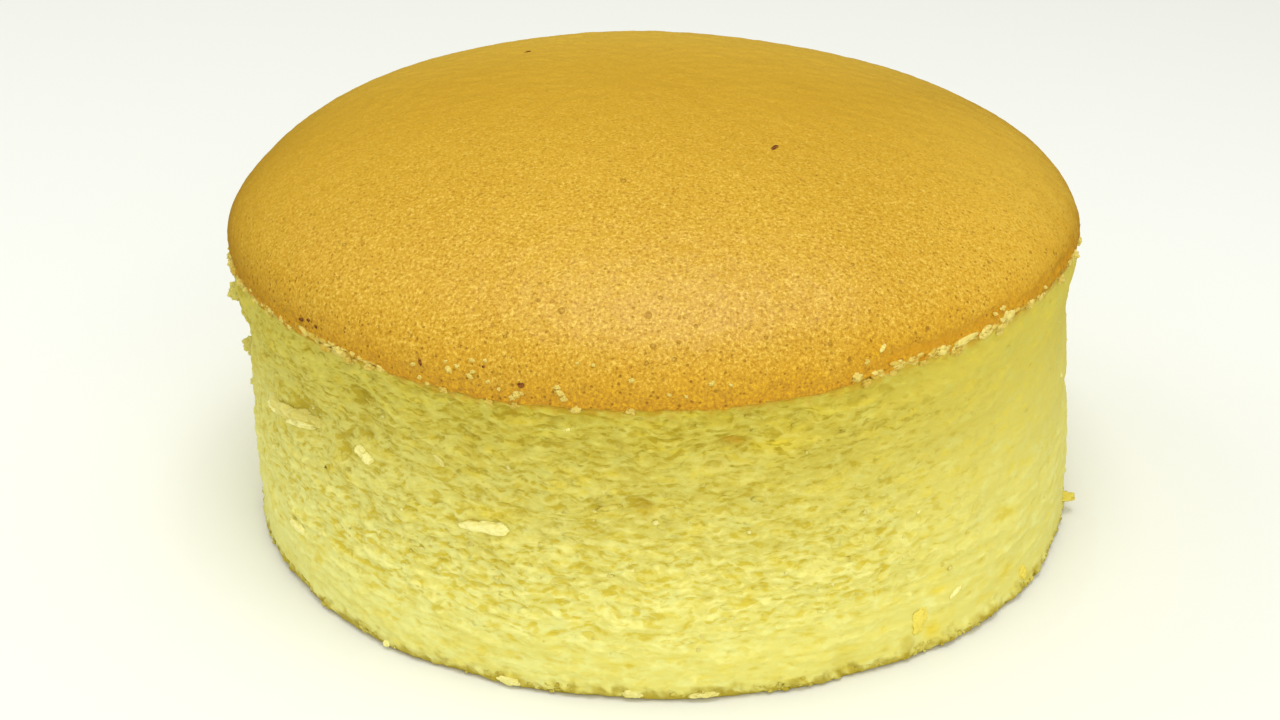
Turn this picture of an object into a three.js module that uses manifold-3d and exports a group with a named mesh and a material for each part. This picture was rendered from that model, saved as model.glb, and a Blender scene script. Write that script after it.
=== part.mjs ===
// Cotton sponge cake: one uncut, pan-baked round of pale sponge under a browned crust.
// Millimetres, +Z up. The front of the cake is -Y and its left side is -X.
// It stands on z = 0 with the middle of its outline over the origin.
// An azimuth is measured from the front, positive towards the right.

import * as THREE from "three";
import * as BufferGeometryUtils from "three/addons/utils/BufferGeometryUtils.js";
import Module from "manifold-3d";

// Driving dimensions

const PAN_RADIUS = 90.2; // the round pan that gave the foot its size
const NECK_RADIUS = 87.8; // the wall draws in here as the cake cools
const NECK_HEIGHT = 43.6;
const TAPER_START = 5; // the wall is upright below this height
const EAVE_RADIUS = 89.8; // the wall flares out again to meet the crust
const EAVE_HEIGHT = 61.5;
const CRUST_RADIUS = 90.1; // the widest ring of the crust
const CRUST_HEIGHT = 62.6;
const DOME_RISE = 31.6;
const DOME_FULLNESS = 1.96; // 2 is a true ellipse, less is more pointed

const FOOT_FLAT_RADIUS = 89.0; // the flat underside
const FOOT_ROUND = 1.8; // height of the rolled lower edge
const FOOT_OVAL = { depth: 1.1, widestAt: -14, fadeHeight: 44 }; // the foot isn't quite round
const EAVE_GROOVE = 0.5; // shallow groove where the wall meets the crust

const BASE_SHIFT = 0.8; // sideways place of the foot's centre
const CRUST_SHIFT = -1.95; // the cake leans to its left as it rises
const PEAK_SHIFT = -7.3; // the dome's top lies further left

const SEGMENTS = 144;
const FOOT_ROWS = 2;
const WALL_ROWS = 19;
const LIP_ROWS = 1;
const DOME_ROWS = 11;

// Height of the crust's lower edge against EAVE_HEIGHT, as [azimuth in degrees, millimetres]

const EDGE_WAVE_START = 12; // the wall below this height isn't stretched by the wave
const RIM_HOLD = 6; // how closely the wave keeps to the rim of the dome
const EDGE_WAVE = [
  [-180, 0.0],
  [-140, -0.8],
  [-100, -2.4],
  [-72, 1.2],
  [-45, 1.3],
  [-18, -0.5],
  [4, 0.1],
  [18, 0.8],
  [34, 3.3],
  [65, 5.0],
  [95, 3.6],
  [120, 3.2],
  [150, 1.3],
];

// Relief of the torn wall: cells around the cake, height of a cell, depth in millimetres

const SWELL = { around: 9, rise: 34, depth: 0.3, seed: 11 };
const TEARS = { around: 44, rise: 5.8, depth: 0.9, steepness: 2.2, seed: 23 };
const FOOT_CHIPS = { around: 52, rise: 30, depth: 0.5, top: 5, seed: 37 };
const DOME_SWELL = { cell: 31, depth: 0.35, fade: 12, cells: 1024, seed: 41 };

// Where the wall tore least: azimuth and spread in degrees, and the share of relief lost

const CALM_SIDES = [
  { azimuth: 70, spread: 24, loss: 0.6 },
  { azimuth: -84, spread: 14, loss: 0.4 },
];
const CALM_FOOT = { share: 0.35, low: 6, high: 26 }; // heights between which the tears set in
const CALM_EAVE = 7; // the tears fade over this height below the crust

// Hollows in the wall: azimuth in degrees, then height, half width, half height and depth

const HOLLOWS = [
  { azimuth: 9.7, height: 53.0, halfWidth: 2.6, halfHeight: 1.7, depth: 1.3 },
  { azimuth: 8.2, height: 49.6, halfWidth: 5.2, halfHeight: 3.0, depth: 0.9 },
  { azimuth: -1.7, height: 40.5, halfWidth: 2.6, halfHeight: 1.7, depth: 1.1 },
  { azimuth: -8.4, height: 35.4, halfWidth: 3.2, halfHeight: 1.6, depth: 0.8 },
  { azimuth: 14.6, height: 35.2, halfWidth: 5.4, halfHeight: 1.8, depth: 0.9 },
  { azimuth: -43.0, height: 40.4, halfWidth: 2.8, halfHeight: 2.4, depth: 1.1 },
  { azimuth: -39.3, height: 52.2, halfWidth: 4.6, halfHeight: 2.2, depth: 1.0 },
  { azimuth: -52.0, height: 42.2, halfWidth: 9.5, halfHeight: 1.9, depth: 1.0 },
  { azimuth: 22.9, height: 3.4, halfWidth: 3.0, halfHeight: 3.0, depth: 1.2 },
  { azimuth: 151, height: 44, halfWidth: 6.0, halfHeight: 2.2, depth: 1.0 },
  { azimuth: -136, height: 31, halfWidth: 4.6, halfHeight: 2.0, depth: 1.0 },
  { azimuth: 104, height: 24, halfWidth: 5.0, halfHeight: 2.0, depth: 0.9 },
];

// Flakes that stand off the wall: azimuth in degrees, then height, length, rise,
// thickness, and slant in degrees, positive where the right-hand end is the higher

const FLAKES = [
  { azimuth: -61.5, height: 37.6, length: 13.0, rise: 3.0, thickness: 2.0, slant: 4 },
  { azimuth: -53.4, height: 38.2, length: 12.0, rise: 3.4, thickness: 2.2, slant: -3 },
  { azimuth: -38.6, height: 40.9, length: 3.4, rise: 2.6, thickness: 3.0, slant: -30 },
  { azimuth: -21.6, height: 32.7, length: 11.4, rise: 2.2, thickness: 2.4, slant: -2 },
  { azimuth: -55.7, height: 14.8, length: 4.6, rise: 2.2, thickness: 1.8, slant: 8 },
  { azimuth: -75.0, height: 54.0, length: 3.4, rise: 4.4, thickness: 4.2, slant: 20 },
  { azimuth: -76.0, height: 41.6, length: 3.4, rise: 3.6, thickness: 4.0, slant: -15 },
  { azimuth: 33.9, height: 14.9, length: 4.4, rise: 3.0, thickness: 1.8, slant: 12 },
  { azimuth: 25.6, height: 3.6, length: 4.6, rise: 3.2, thickness: 2.6, slant: 0 },
  { azimuth: 80.0, height: 5.4, length: 4.4, rise: 1.8, thickness: 7.1, slant: 6 },
  { azimuth: 128, height: 36.0, length: 9.0, rise: 2.4, thickness: 2.4, slant: 3 },
  { azimuth: -160, height: 47.0, length: 7.0, rise: 2.6, thickness: 2.6, slant: -6 },
  { azimuth: -112, height: 22.0, length: 8.0, rise: 2.2, thickness: 2.2, slant: 2 },
];

// Crumbs of torn skin that cling along the crust's lower edge

const CRUMB = { length: 1.3, rise: 0.8, drop: 0.5, stray: 0.6, slant: 25, unevenness: 0.3, jitter: 0.4 };
const SCRAP_ROUGHNESS = 0.14;
const CRUMB_RUNS = [
  { from: -79, to: -63, count: 4, size: 1.9, seed: 51 },
  { from: -44, to: -33, count: 5, size: 2.0, seed: 52 },
  { from: -29, to: 2, count: 5, size: 1.6, seed: 53 },
  { from: 24, to: 58, count: 6, size: 1.9, seed: 54 },
  { from: 62, to: 78, count: 3, size: 2.1, seed: 55 },
  { from: 96, to: 268, count: 14, size: 1.8, seed: 56 },
];

// Numbers that repeat exactly

function lattice(column, row, seed) {
  let bits = Math.imul(column, 374761393) + Math.imul(row, 668265263) + Math.imul(seed, 2246822519);
  bits = Math.imul(bits ^ (bits >>> 13), 1274126177);
  bits ^= bits >>> 16;
  return ((bits >>> 0) / 4294967295) * 2 - 1;
}

function easeBetween(low, high, value) {
  return THREE.MathUtils.smoothstep(value, low, high);
}

// Smooth noise from -1 to 1; columns wrap round after the given number of cells

function noise(column, row, wrap, seed) {
  const column0 = Math.floor(column);
  const row0 = Math.floor(row);
  const blendColumn = easeBetween(0, 1, column - column0);
  const blendRow = easeBetween(0, 1, row - row0);
  const left = THREE.MathUtils.euclideanModulo(column0, wrap);
  const right = THREE.MathUtils.euclideanModulo(column0 + 1, wrap);
  const low = THREE.MathUtils.lerp(lattice(left, row0, seed), lattice(right, row0, seed), blendColumn);
  const high = THREE.MathUtils.lerp(
    lattice(left, row0 + 1, seed),
    lattice(right, row0 + 1, seed),
    blendColumn,
  );
  return THREE.MathUtils.lerp(low, high, blendRow);
}

function ringNoise(azimuth, height, band) {
  const turn = azimuth / (2 * Math.PI) + 0.5;
  return noise(turn * band.around, height / band.rise, band.around, band.seed);
}

// The true round that the cake would be with no tears and no lean

function wallRadius(height) {
  if (height < NECK_HEIGHT) {
    const taper = easeBetween(TAPER_START, NECK_HEIGHT, height);
    return THREE.MathUtils.lerp(PAN_RADIUS, NECK_RADIUS, taper);
  }
  const flare = easeBetween(NECK_HEIGHT, EAVE_HEIGHT, height);
  return THREE.MathUtils.lerp(NECK_RADIUS, EAVE_RADIUS, flare);
}

function cakeProfile() {
  const profile = [new THREE.Vector2(0, 0), new THREE.Vector2(FOOT_FLAT_RADIUS, 0)];
  for (let row = 1; row <= FOOT_ROWS; row++) {
    const turn = (row / FOOT_ROWS) * (Math.PI / 2);
    const reach = (PAN_RADIUS - FOOT_FLAT_RADIUS) * Math.sin(turn);
    profile.push(new THREE.Vector2(FOOT_FLAT_RADIUS + reach, FOOT_ROUND * (1 - Math.cos(turn))));
  }
  for (let row = 1; row <= WALL_ROWS; row++) {
    const height = THREE.MathUtils.lerp(FOOT_ROUND, EAVE_HEIGHT, row / WALL_ROWS);
    const groove = row === WALL_ROWS - 1 ? EAVE_GROOVE : 0;
    profile.push(new THREE.Vector2(wallRadius(height) - groove, height));
  }
  for (let row = 1; row <= LIP_ROWS; row++) {
    const share = row / LIP_ROWS;
    const reach = (CRUST_RADIUS - EAVE_RADIUS) * Math.sin((share * Math.PI) / 2);
    const height = THREE.MathUtils.lerp(EAVE_HEIGHT, CRUST_HEIGHT, share);
    profile.push(new THREE.Vector2(EAVE_RADIUS + reach, height));
  }
  for (let row = 1; row < DOME_ROWS; row++) {
    const turn = (row / DOME_ROWS) * (Math.PI / 2);
    const radius = CRUST_RADIUS * Math.cos(turn) ** (2 / DOME_FULLNESS);
    profile.push(new THREE.Vector2(radius, CRUST_HEIGHT + DOME_RISE * Math.sin(turn)));
  }
  profile.push(new THREE.Vector2(0, CRUST_HEIGHT + DOME_RISE));
  return profile;
}

// How the real cake departs from the true round

function edgeRise(azimuth) {
  const degrees = THREE.MathUtils.radToDeg(azimuth);
  const count = EDGE_WAVE.length;
  let next = EDGE_WAVE.findIndex(([at]) => at > degrees);
  if (next < 0) {
    next = count;
  }
  const [from, low] = EDGE_WAVE[next - 1];
  const [to, high] = next < count ? EDGE_WAVE[next] : [EDGE_WAVE[0][0] + 360, EDGE_WAVE[0][1]];
  return THREE.MathUtils.lerp(low, high, easeBetween(from, to, degrees));
}

function leanAt(height) {
  if (height < CRUST_HEIGHT) {
    return THREE.MathUtils.lerp(BASE_SHIFT, CRUST_SHIFT, height / CRUST_HEIGHT);
  }
  return THREE.MathUtils.lerp(CRUST_SHIFT, PEAK_SHIFT, (height - CRUST_HEIGHT) / DOME_RISE);
}

function tearShare(azimuth, height) {
  const degrees = THREE.MathUtils.radToDeg(azimuth);
  let share = THREE.MathUtils.lerp(CALM_FOOT.share, 1, easeBetween(CALM_FOOT.low, CALM_FOOT.high, height));
  share *= 1 - easeBetween(EAVE_HEIGHT - CALM_EAVE, EAVE_HEIGHT, height);
  for (const side of CALM_SIDES) {
    share *= 1 - side.loss * Math.exp(-(((degrees - side.azimuth) / side.spread) ** 2));
  }
  return share;
}

function hollowDepth(azimuth, height) {
  let depth = 0;
  for (const hollow of HOLLOWS) {
    const turn = THREE.MathUtils.degToRad(hollow.azimuth) - azimuth;
    const across = Math.atan2(Math.sin(turn), Math.cos(turn)) * NECK_RADIUS;
    const reach = (across / hollow.halfWidth) ** 2 + ((height - hollow.height) / hollow.halfHeight) ** 2;
    depth += hollow.depth * Math.exp(-reach);
  }
  return depth;
}

function footOval(azimuth, height) {
  const turn = azimuth - THREE.MathUtils.degToRad(FOOT_OVAL.widestAt);
  return FOOT_OVAL.depth * Math.cos(2 * turn) * (1 - easeBetween(0, FOOT_OVAL.fadeHeight, height));
}

function wallRelief(azimuth, height) {
  const swell = SWELL.depth * ringNoise(azimuth, height, SWELL);
  const tears = TEARS.depth * Math.tanh(TEARS.steepness * ringNoise(azimuth, height, TEARS));
  const chipShare = 1 - easeBetween(0, FOOT_CHIPS.top, height);
  const chips = FOOT_CHIPS.depth * ringNoise(azimuth, height, FOOT_CHIPS) * chipShare;
  const torn = tears * tearShare(azimuth, height);
  return swell + torn + chips + footOval(azimuth, height) - hollowDepth(azimuth, height);
}

// Moves a point of the true round to its place on the real cake

function settle(point) {
  const azimuth = Math.atan2(point.x, -point.y);
  let radius = Math.hypot(point.x, point.y);
  let height = point.z;
  if (point.z < CRUST_HEIGHT) {
    const reliefShare = (1 - easeBetween(EAVE_HEIGHT, CRUST_HEIGHT, point.z)) * (radius / PAN_RADIUS);
    radius += wallRelief(azimuth, point.z) * reliefShare;
    height += edgeRise(azimuth) * easeBetween(EDGE_WAVE_START, EAVE_HEIGHT, point.z);
  } else {
    const { cell, depth, fade, cells, seed } = DOME_SWELL;
    const swell = depth * noise(point.x / cell, point.y / cell, cells, seed);
    height += edgeRise(azimuth) * (radius / CRUST_RADIUS) ** RIM_HOLD;
    height += swell * easeBetween(CRUST_HEIGHT, CRUST_HEIGHT + fade, point.z);
  }
  return new THREE.Vector3(
    leanAt(point.z) + radius * Math.sin(azimuth),
    -radius * Math.cos(azimuth),
    height,
  );
}

function onWall(azimuth, height) {
  const radius = wallRadius(height);
  return settle(new THREE.Vector3(radius * Math.sin(azimuth), -radius * Math.cos(azimuth), height));
}

// Closed meshes

function weld(geometry) {
  geometry.deleteAttribute("normal");
  geometry.deleteAttribute("uv");
  return BufferGeometryUtils.mergeVertices(geometry, 1e-4);
}

function roundGeometry() {
  const geometry = new THREE.LatheGeometry(cakeProfile(), SEGMENTS);
  geometry.rotateX(Math.PI / 2);
  const welded = weld(geometry);
  const position = welded.attributes.position;
  for (let i = 0; i < position.count; i++) {
    const settled = settle(new THREE.Vector3().fromBufferAttribute(position, i));
    position.setXYZ(i, settled.x, settled.y, settled.z);
  }
  return welded;
}

// A torn scrap: a rough pebble stretched along the wall and half sunk in it

function scrapGeometry({ azimuth, height, length, rise, thickness, slant, detail, seed }) {
  const scrap = weld(new THREE.IcosahedronGeometry(1, detail));
  const position = scrap.attributes.position;
  for (let i = 0; i < position.count; i++) {
    const rough = 1 + SCRAP_ROUGHNESS * lattice(i, 0, seed);
    position.setXYZ(
      i,
      position.getX(i) * rough * (length / 2),
      position.getY(i) * rough * (thickness / 2),
      position.getZ(i) * rough * (rise / 2),
    );
  }
  scrap.rotateY(-THREE.MathUtils.degToRad(slant));
  scrap.rotateZ(azimuth);
  const place = onWall(azimuth, height);
  scrap.translate(place.x, place.y, place.z);
  return scrap;
}

function flakeGeometries() {
  return FLAKES.map((flake, index) =>
    scrapGeometry({
      ...flake,
      azimuth: THREE.MathUtils.degToRad(flake.azimuth),
      detail: 1,
      seed: index,
    }),
  );
}

function crumbGeometry(run, index) {
  const share = (index + 0.5 + CRUMB.jitter * lattice(index, 1, run.seed)) / run.count;
  const size = run.size * (1 + CRUMB.unevenness * lattice(index, 2, run.seed));
  return scrapGeometry({
    azimuth: THREE.MathUtils.degToRad(THREE.MathUtils.lerp(run.from, run.to, share)),
    height: EAVE_HEIGHT - CRUMB.drop + CRUMB.stray * lattice(index, 3, run.seed),
    length: size * CRUMB.length,
    rise: size * CRUMB.rise,
    thickness: size,
    slant: CRUMB.slant * lattice(index, 4, run.seed),
    detail: 0,
    seed: run.seed + index,
  });
}

function crumbGeometries() {
  return CRUMB_RUNS.flatMap((run) =>
    Array.from({ length: run.count }, (_, index) => crumbGeometry(run, index)),
  );
}

// Fusing the scraps to the round

const wasm = await Module();
wasm.setup();

function solidOf(geometry) {
  return new wasm.Manifold(
    new wasm.Mesh({
      numProp: 3,
      vertProperties: new Float32Array(geometry.attributes.position.array),
      triVerts: new Uint32Array(geometry.index.array),
    }),
  );
}

function geometryOf(solid) {
  const mesh = solid.getMesh();
  const geometry = new THREE.BufferGeometry();
  geometry.setAttribute("position", new THREE.BufferAttribute(mesh.vertProperties, mesh.numProp));
  geometry.setIndex(new THREE.BufferAttribute(mesh.triVerts, 1));
  geometry.computeVertexNormals();
  return geometry;
}

const SHORTEST_EDGE = 0.05;
const pieces = [roundGeometry(), ...flakeGeometries(), ...crumbGeometries()].map(solidOf);
const fused = pieces.reduce((whole, piece) => whole.add(piece)).simplify(SHORTEST_EDGE);

const spongeMaterial = new THREE.MeshStandardMaterial({ color: 0xe2d16f, roughness: 0.9, metalness: 0 });
const cake = new THREE.Mesh(geometryOf(fused), spongeMaterial);
cake.name = "cake";

const group = new THREE.Group();
group.add(cake);

export default group;
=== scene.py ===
"""Cotton sponge cake: one uncut round of pale torn sponge under a smooth browned dome.

The form's sizes are millimetres, as the solid's are, and meshes are metres. The front of the cake is -Y
and its left side is -X. An azimuth is measured from the front, positive towards the right. Heights of things
on the cake are heights on the true round, before the wavy edge and the lean move them.
"""

import logging
import math
from dataclasses import dataclass, field
from enum import Enum

import bpy
import numpy as np
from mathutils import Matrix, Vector
from mathutils import noise as space


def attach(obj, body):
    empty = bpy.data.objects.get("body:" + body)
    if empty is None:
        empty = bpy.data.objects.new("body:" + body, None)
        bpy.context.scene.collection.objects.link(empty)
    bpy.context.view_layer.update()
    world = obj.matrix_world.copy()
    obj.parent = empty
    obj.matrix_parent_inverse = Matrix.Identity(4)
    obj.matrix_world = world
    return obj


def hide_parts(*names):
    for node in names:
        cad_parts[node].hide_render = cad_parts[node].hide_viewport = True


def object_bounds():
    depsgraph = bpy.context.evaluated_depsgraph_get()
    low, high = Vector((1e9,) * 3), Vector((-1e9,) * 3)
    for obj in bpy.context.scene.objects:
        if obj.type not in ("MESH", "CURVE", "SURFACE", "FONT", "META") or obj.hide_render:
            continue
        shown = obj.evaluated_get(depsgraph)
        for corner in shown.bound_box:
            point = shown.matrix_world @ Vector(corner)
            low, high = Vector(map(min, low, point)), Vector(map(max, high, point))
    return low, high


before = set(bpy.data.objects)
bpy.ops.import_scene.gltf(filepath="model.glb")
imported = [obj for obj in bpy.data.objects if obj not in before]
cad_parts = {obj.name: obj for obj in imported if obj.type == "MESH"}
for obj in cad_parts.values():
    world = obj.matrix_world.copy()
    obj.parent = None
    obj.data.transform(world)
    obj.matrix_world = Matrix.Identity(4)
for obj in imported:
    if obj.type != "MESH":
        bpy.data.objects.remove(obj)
CAD_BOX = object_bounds()

LOG = logging.getLogger("cake")
MM = 0.001
BODY = "root"
NODE = "cake"
FRONT_SHARE = 0.3

Colour = tuple[float, float, float]
Steps = tuple[float, float, float, float]
Socket = bpy.types.NodeSocket
Piece = bpy.types.Object


class Slot(Enum):
    """Names of the material slots: sponge and crust."""

    SPONGE = "sponge"
    CRUST = "crust"


# Numbers that repeat exactly


def lattice(column: np.ndarray, row: np.ndarray, seed: int) -> np.ndarray:
    """Gives each crossing of a grid a random number that is the same every time.

    Args:
        column: Whole numbers.
        row: Whole numbers of the same shape.
        seed: Which grid.

    Returns:
        Numbers from -1 to 1.
    """
    bits = column.astype(np.int64) * 374761393 + row.astype(np.int64) * 668265263 + seed * 2246822519
    bits &= 0xFFFFFFFF
    bits = ((bits ^ (bits >> 13)) * 1274126177) & 0xFFFFFFFF
    bits ^= bits >> 16
    return bits / 4294967295 * 2 - 1


def ease(low: float, high: float, value: np.ndarray) -> np.ndarray:
    """Rises smoothly from 0 at low to 1 at high."""
    share = np.clip((value - low) / (high - low), 0, 1)
    return share * share * (3 - 2 * share)


def blend(start: np.ndarray, end: np.ndarray, share: np.ndarray) -> np.ndarray:
    """Gives start at share 0 and end at share 1."""
    return start + (end - start) * share


def between(low: float, high: float, soft: float, value: np.ndarray) -> np.ndarray:
    """Gives 1 from low to high and falls smoothly to 0 over a soft edge outside them."""
    return ease(low - soft, low, value) * (1 - ease(high, high + soft, value))


def polar(points: np.ndarray) -> tuple[np.ndarray, np.ndarray, np.ndarray]:
    """Gives the azimuth in radians, the radius and the height of rows of x, y, z."""
    return np.arctan2(points[:, 0], -points[:, 1]), np.hypot(points[:, 0], points[:, 1]), points[:, 2]


def around(azimuth: np.ndarray, radius: np.ndarray, height: np.ndarray) -> np.ndarray:
    """Gives rows of x, y, z for azimuths in radians, radii and heights."""
    return np.stack([radius * np.sin(azimuth), -radius * np.cos(azimuth), height], axis=1)


def noise(column: np.ndarray, row: np.ndarray, wrap: int, seed: int) -> np.ndarray:
    """Smooth noise on a grid.

    Args:
        column: Places across the grid's columns.
        row: Places along its rows.
        wrap: The number of columns after which it repeats.
        seed: Which grid.

    Returns:
        Numbers from -1 to 1.
    """
    column0, row0 = np.floor(column), np.floor(row)
    blend_column = ease(0, 1, column - column0)
    left, right = column0 % wrap, (column0 + 1) % wrap
    low = blend(lattice(left, row0, seed), lattice(right, row0, seed), blend_column)
    high = blend(lattice(left, row0 + 1, seed), lattice(right, row0 + 1, seed), blend_column)
    return blend(low, high, ease(0, 1, row - row0))


@dataclass(frozen=True)
class Crag:
    """Natural noise in space.

    Attributes:
        wide: Width of a lump in millimetres.
        tall: Height of a lump in millimetres.
        octaves: How many times finer lumps are added.
        seed: Which noise.
        depth: The noise's usual size.
    """

    wide: float
    tall: float
    octaves: int
    seed: int
    depth: float = 1.0

    def at(self, points: np.ndarray) -> np.ndarray:
        """Gives the noise, around 0, at rows of x, y, z in millimetres."""
        usual_size, fineness, gain, apart = 0.31, 2.1, 0.85, 31.7
        scaled = points / (self.wide, self.wide, self.tall) + apart * self.seed
        found = [space.fractal(place, gain, fineness, self.octaves) for place in scaled.tolist()]
        return self.depth * (np.array(found) / usual_size)


@dataclass(frozen=True)
class Sector:
    """A part of the round with soft ends: from, to and softness in degrees."""

    start: float
    end: float
    soft: float

    def share(self, azimuth: np.ndarray) -> np.ndarray:
        """Gives 1 in the sector and 0 away from it, at azimuths in radians."""
        return between(math.radians(self.start), math.radians(self.end), math.radians(self.soft), azimuth)


@dataclass(frozen=True)
class Band:
    """One band of relief that runs round the wall.

    Attributes:
        around: Cells round the cake.
        rise: Height of a cell in millimetres.
        depth: How far it moves the wall, in millimetres.
        seed: Which noise.
    """

    around: int
    rise: float
    depth: float
    seed: int

    def at(self, azimuth: np.ndarray, height: np.ndarray) -> np.ndarray:
        """Gives the band's noise, from -1 to 1, at azimuths in radians and heights in millimetres."""
        turn = azimuth / (2 * math.pi) + 0.5
        return noise(turn * self.around, height / self.rise, self.around, self.seed)


@dataclass(frozen=True)
class Patch:
    """A soft-edged oval on the wall: azimuth in degrees, then millimetres."""

    azimuth: float
    height: float
    half_width: float
    half_height: float

    def share(self, azimuth: np.ndarray, height: np.ndarray, radius: float) -> np.ndarray:
        """Gives 1 in the patch's middle and 0 away from it."""
        turn = math.radians(self.azimuth) - azimuth
        across = np.arctan2(np.sin(turn), np.cos(turn)) * radius / self.half_width
        up = (height - self.height) / self.half_height
        return np.exp(-(across**2) - up**2)


@dataclass(frozen=True)
class Hollow(Patch):
    """A hollow in the wall.

    Attributes:
        depth: Millimetres.
        shade: How its tone differs from the wall's, from -1, dark with painted shade, to 1, pale.
    """

    depth: float
    shade: float = -0.5


@dataclass(frozen=True)
class Mark(Patch):
    """A small mark in the wall, from a golden pit painted darker as shade, tone -1, to a cream lip painted
    paler as a highlight, tone 1.
    """

    tone: float


@dataclass(frozen=True)
class Calm:
    """A side of the wall that tore less: azimuth and spread in degrees, and the share of relief lost."""

    azimuth: float
    spread: float
    loss: float

    def kept(self, degrees: np.ndarray) -> np.ndarray:
        """Gives the share of relief that is left."""
        return 1 - self.loss * np.exp(-(((degrees - self.azimuth) / self.spread) ** 2))


@dataclass(frozen=True)
class CakeForm:
    """The cake's own form, in millimetres: the true round, and how the real cake departs from it."""

    pan_radius: float = 90.2
    neck_radius: float = 87.8
    neck_height: float = 43.6
    taper_start: float = 5
    eave_radius: float = 89.8
    eave_height: float = 61.5
    crust_radius: float = 90.1
    crust_height: float = 62.6
    dome_rise: float = 31.6
    dome_fullness: float = 1.96
    foot_flat_radius: float = 89.0
    foot_round: float = 1.8
    foot_oval_depth: float = 1.1
    foot_oval_azimuth: float = -14
    foot_oval_fade: float = 44
    base_shift: float = 0.8
    crust_shift: float = -1.95
    peak_shift: float = -7.3
    edge_wave_start: float = 12
    rim_hold: int = 6
    edge_wave: tuple[tuple[float, float], ...] = (
        (-180, 0.0),
        (-140, -0.8),
        (-100, -2.4),
        (-72, 1.2),
        (-45, 1.3),
        (-18, -0.5),
        (4, 0.1),
        (18, 0.8),
        (34, 3.3),
        (65, 5.0),
        (95, 3.6),
        (120, 3.2),
        (150, 1.3),
        (180, 0.0),
    )
    swell: Band = Band(9, 34, 0.3, 11)
    tears: Band = Band(44, 5.8, 0.9, 23)
    tear_steepness: float = 2.2
    foot_chips: Band = Band(52, 30, 0.5, 37)
    foot_chip_top: float = 5
    dome_swell_cell: float = 31
    dome_swell_depth: float = 0.35
    dome_swell_fade: float = 12
    dome_swell_seed: int = 41
    calm_sides: tuple[Calm, ...] = (Calm(70, 24, 0.6), Calm(-84, 14, 0.4))
    smooth_sides: tuple[Calm, ...] = (Calm(62, 36, 0.7), Calm(-64, 18, 0.3))
    smooth_top_start: float = 12
    smooth_top_end: float = 40
    smooth_top_front: float = 0.15
    smooth_top_right: float = 0.5
    smooth_top_low: float = 49
    smooth_top_high: float = 58
    calm_foot_share: float = 0.35
    calm_foot_low: float = 6
    calm_foot_high: float = 26
    calm_eave: float = 7
    hollows: tuple[Hollow, ...] = (
        Hollow(9.7, 53.0, 2.6, 1.7, 1.3, -1.0),
        Hollow(8.2, 49.6, 5.2, 3.0, 0.9, 0.5),
        Hollow(-1.7, 40.5, 2.6, 1.7, 1.1, -0.9),
        Hollow(-8.4, 35.4, 3.2, 1.6, 0.8, -0.7),
        Hollow(14.6, 35.2, 5.4, 1.8, 0.9, -0.5),
        Hollow(-43.0, 40.4, 2.8, 2.4, 1.1, -1.0),
        Hollow(-39.3, 52.2, 4.6, 2.2, 1.0, -0.9),
        Hollow(-52.0, 42.2, 9.5, 1.9, 1.0, -0.8),
        Hollow(22.9, 3.4, 3.0, 3.0, 1.2, -0.4),
        Hollow(151, 44, 6.0, 2.2, 1.0, -0.7),
        Hollow(-136, 31, 4.6, 2.0, 1.0, -0.7),
        Hollow(104, 24, 5.0, 2.0, 0.9, -0.7),
    )

    def wall_radius(self, height: np.ndarray) -> np.ndarray:
        """Gives the true round's radius at a height of the wall."""
        taper = blend(self.pan_radius, self.neck_radius, ease(self.taper_start, self.neck_height, height))
        flare = blend(self.neck_radius, self.eave_radius, ease(self.neck_height, self.eave_height, height))
        return np.where(height < self.neck_height, taper, flare)

    def dome_radius(self, height: np.ndarray) -> np.ndarray:
        """Gives the true round's radius at a height of the dome."""
        sine = np.clip((height - self.crust_height) / self.dome_rise, 0, 1)
        return self.crust_radius * (1 - sine**2) ** (1 / self.dome_fullness)

    def skin_points(self, azimuth: np.ndarray, height: np.ndarray) -> np.ndarray:
        """Gives points of the true round's skin for azimuths in radians and heights, as rows of x, y, z."""
        lip = blend(self.eave_radius, self.crust_radius, ease(self.eave_height, self.crust_height, height))
        radius = np.where(height < self.eave_height, self.wall_radius(height), lip)
        radius = np.where(height > self.crust_height, self.dome_radius(height), radius)
        return around(azimuth, radius, height)

    def edge_rise(self, azimuth: np.ndarray) -> np.ndarray:
        """Gives how far the crust's lower edge lies above its mean height."""
        places = np.array([place for place, _ in self.edge_wave], float)
        rises = np.array([rise for _, rise in self.edge_wave])
        degrees = np.degrees(azimuth)
        after = np.clip(np.searchsorted(places, degrees, side="right"), 1, len(places) - 1)
        share = (degrees - places[after - 1]) / (places[after] - places[after - 1])
        return blend(rises[after - 1], rises[after], ease(0, 1, share))

    def lean(self, height: np.ndarray) -> np.ndarray:
        """Gives the sideways place of the cake's middle at a height."""
        wall = blend(self.base_shift, self.crust_shift, height / self.crust_height)
        dome = blend(self.crust_shift, self.peak_shift, (height - self.crust_height) / self.dome_rise)
        return np.where(height < self.crust_height, wall, dome)

    def tear_share(self, azimuth: np.ndarray, height: np.ndarray) -> np.ndarray:
        """Gives how strongly the wall tore, from 0 to 1."""
        degrees = np.degrees(azimuth)
        share = blend(self.calm_foot_share, 1, ease(self.calm_foot_low, self.calm_foot_high, height))
        share = share * (1 - ease(self.eave_height - self.calm_eave, self.eave_height, height))
        for side in self.calm_sides:
            share = share * side.kept(degrees)
        return share

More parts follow.
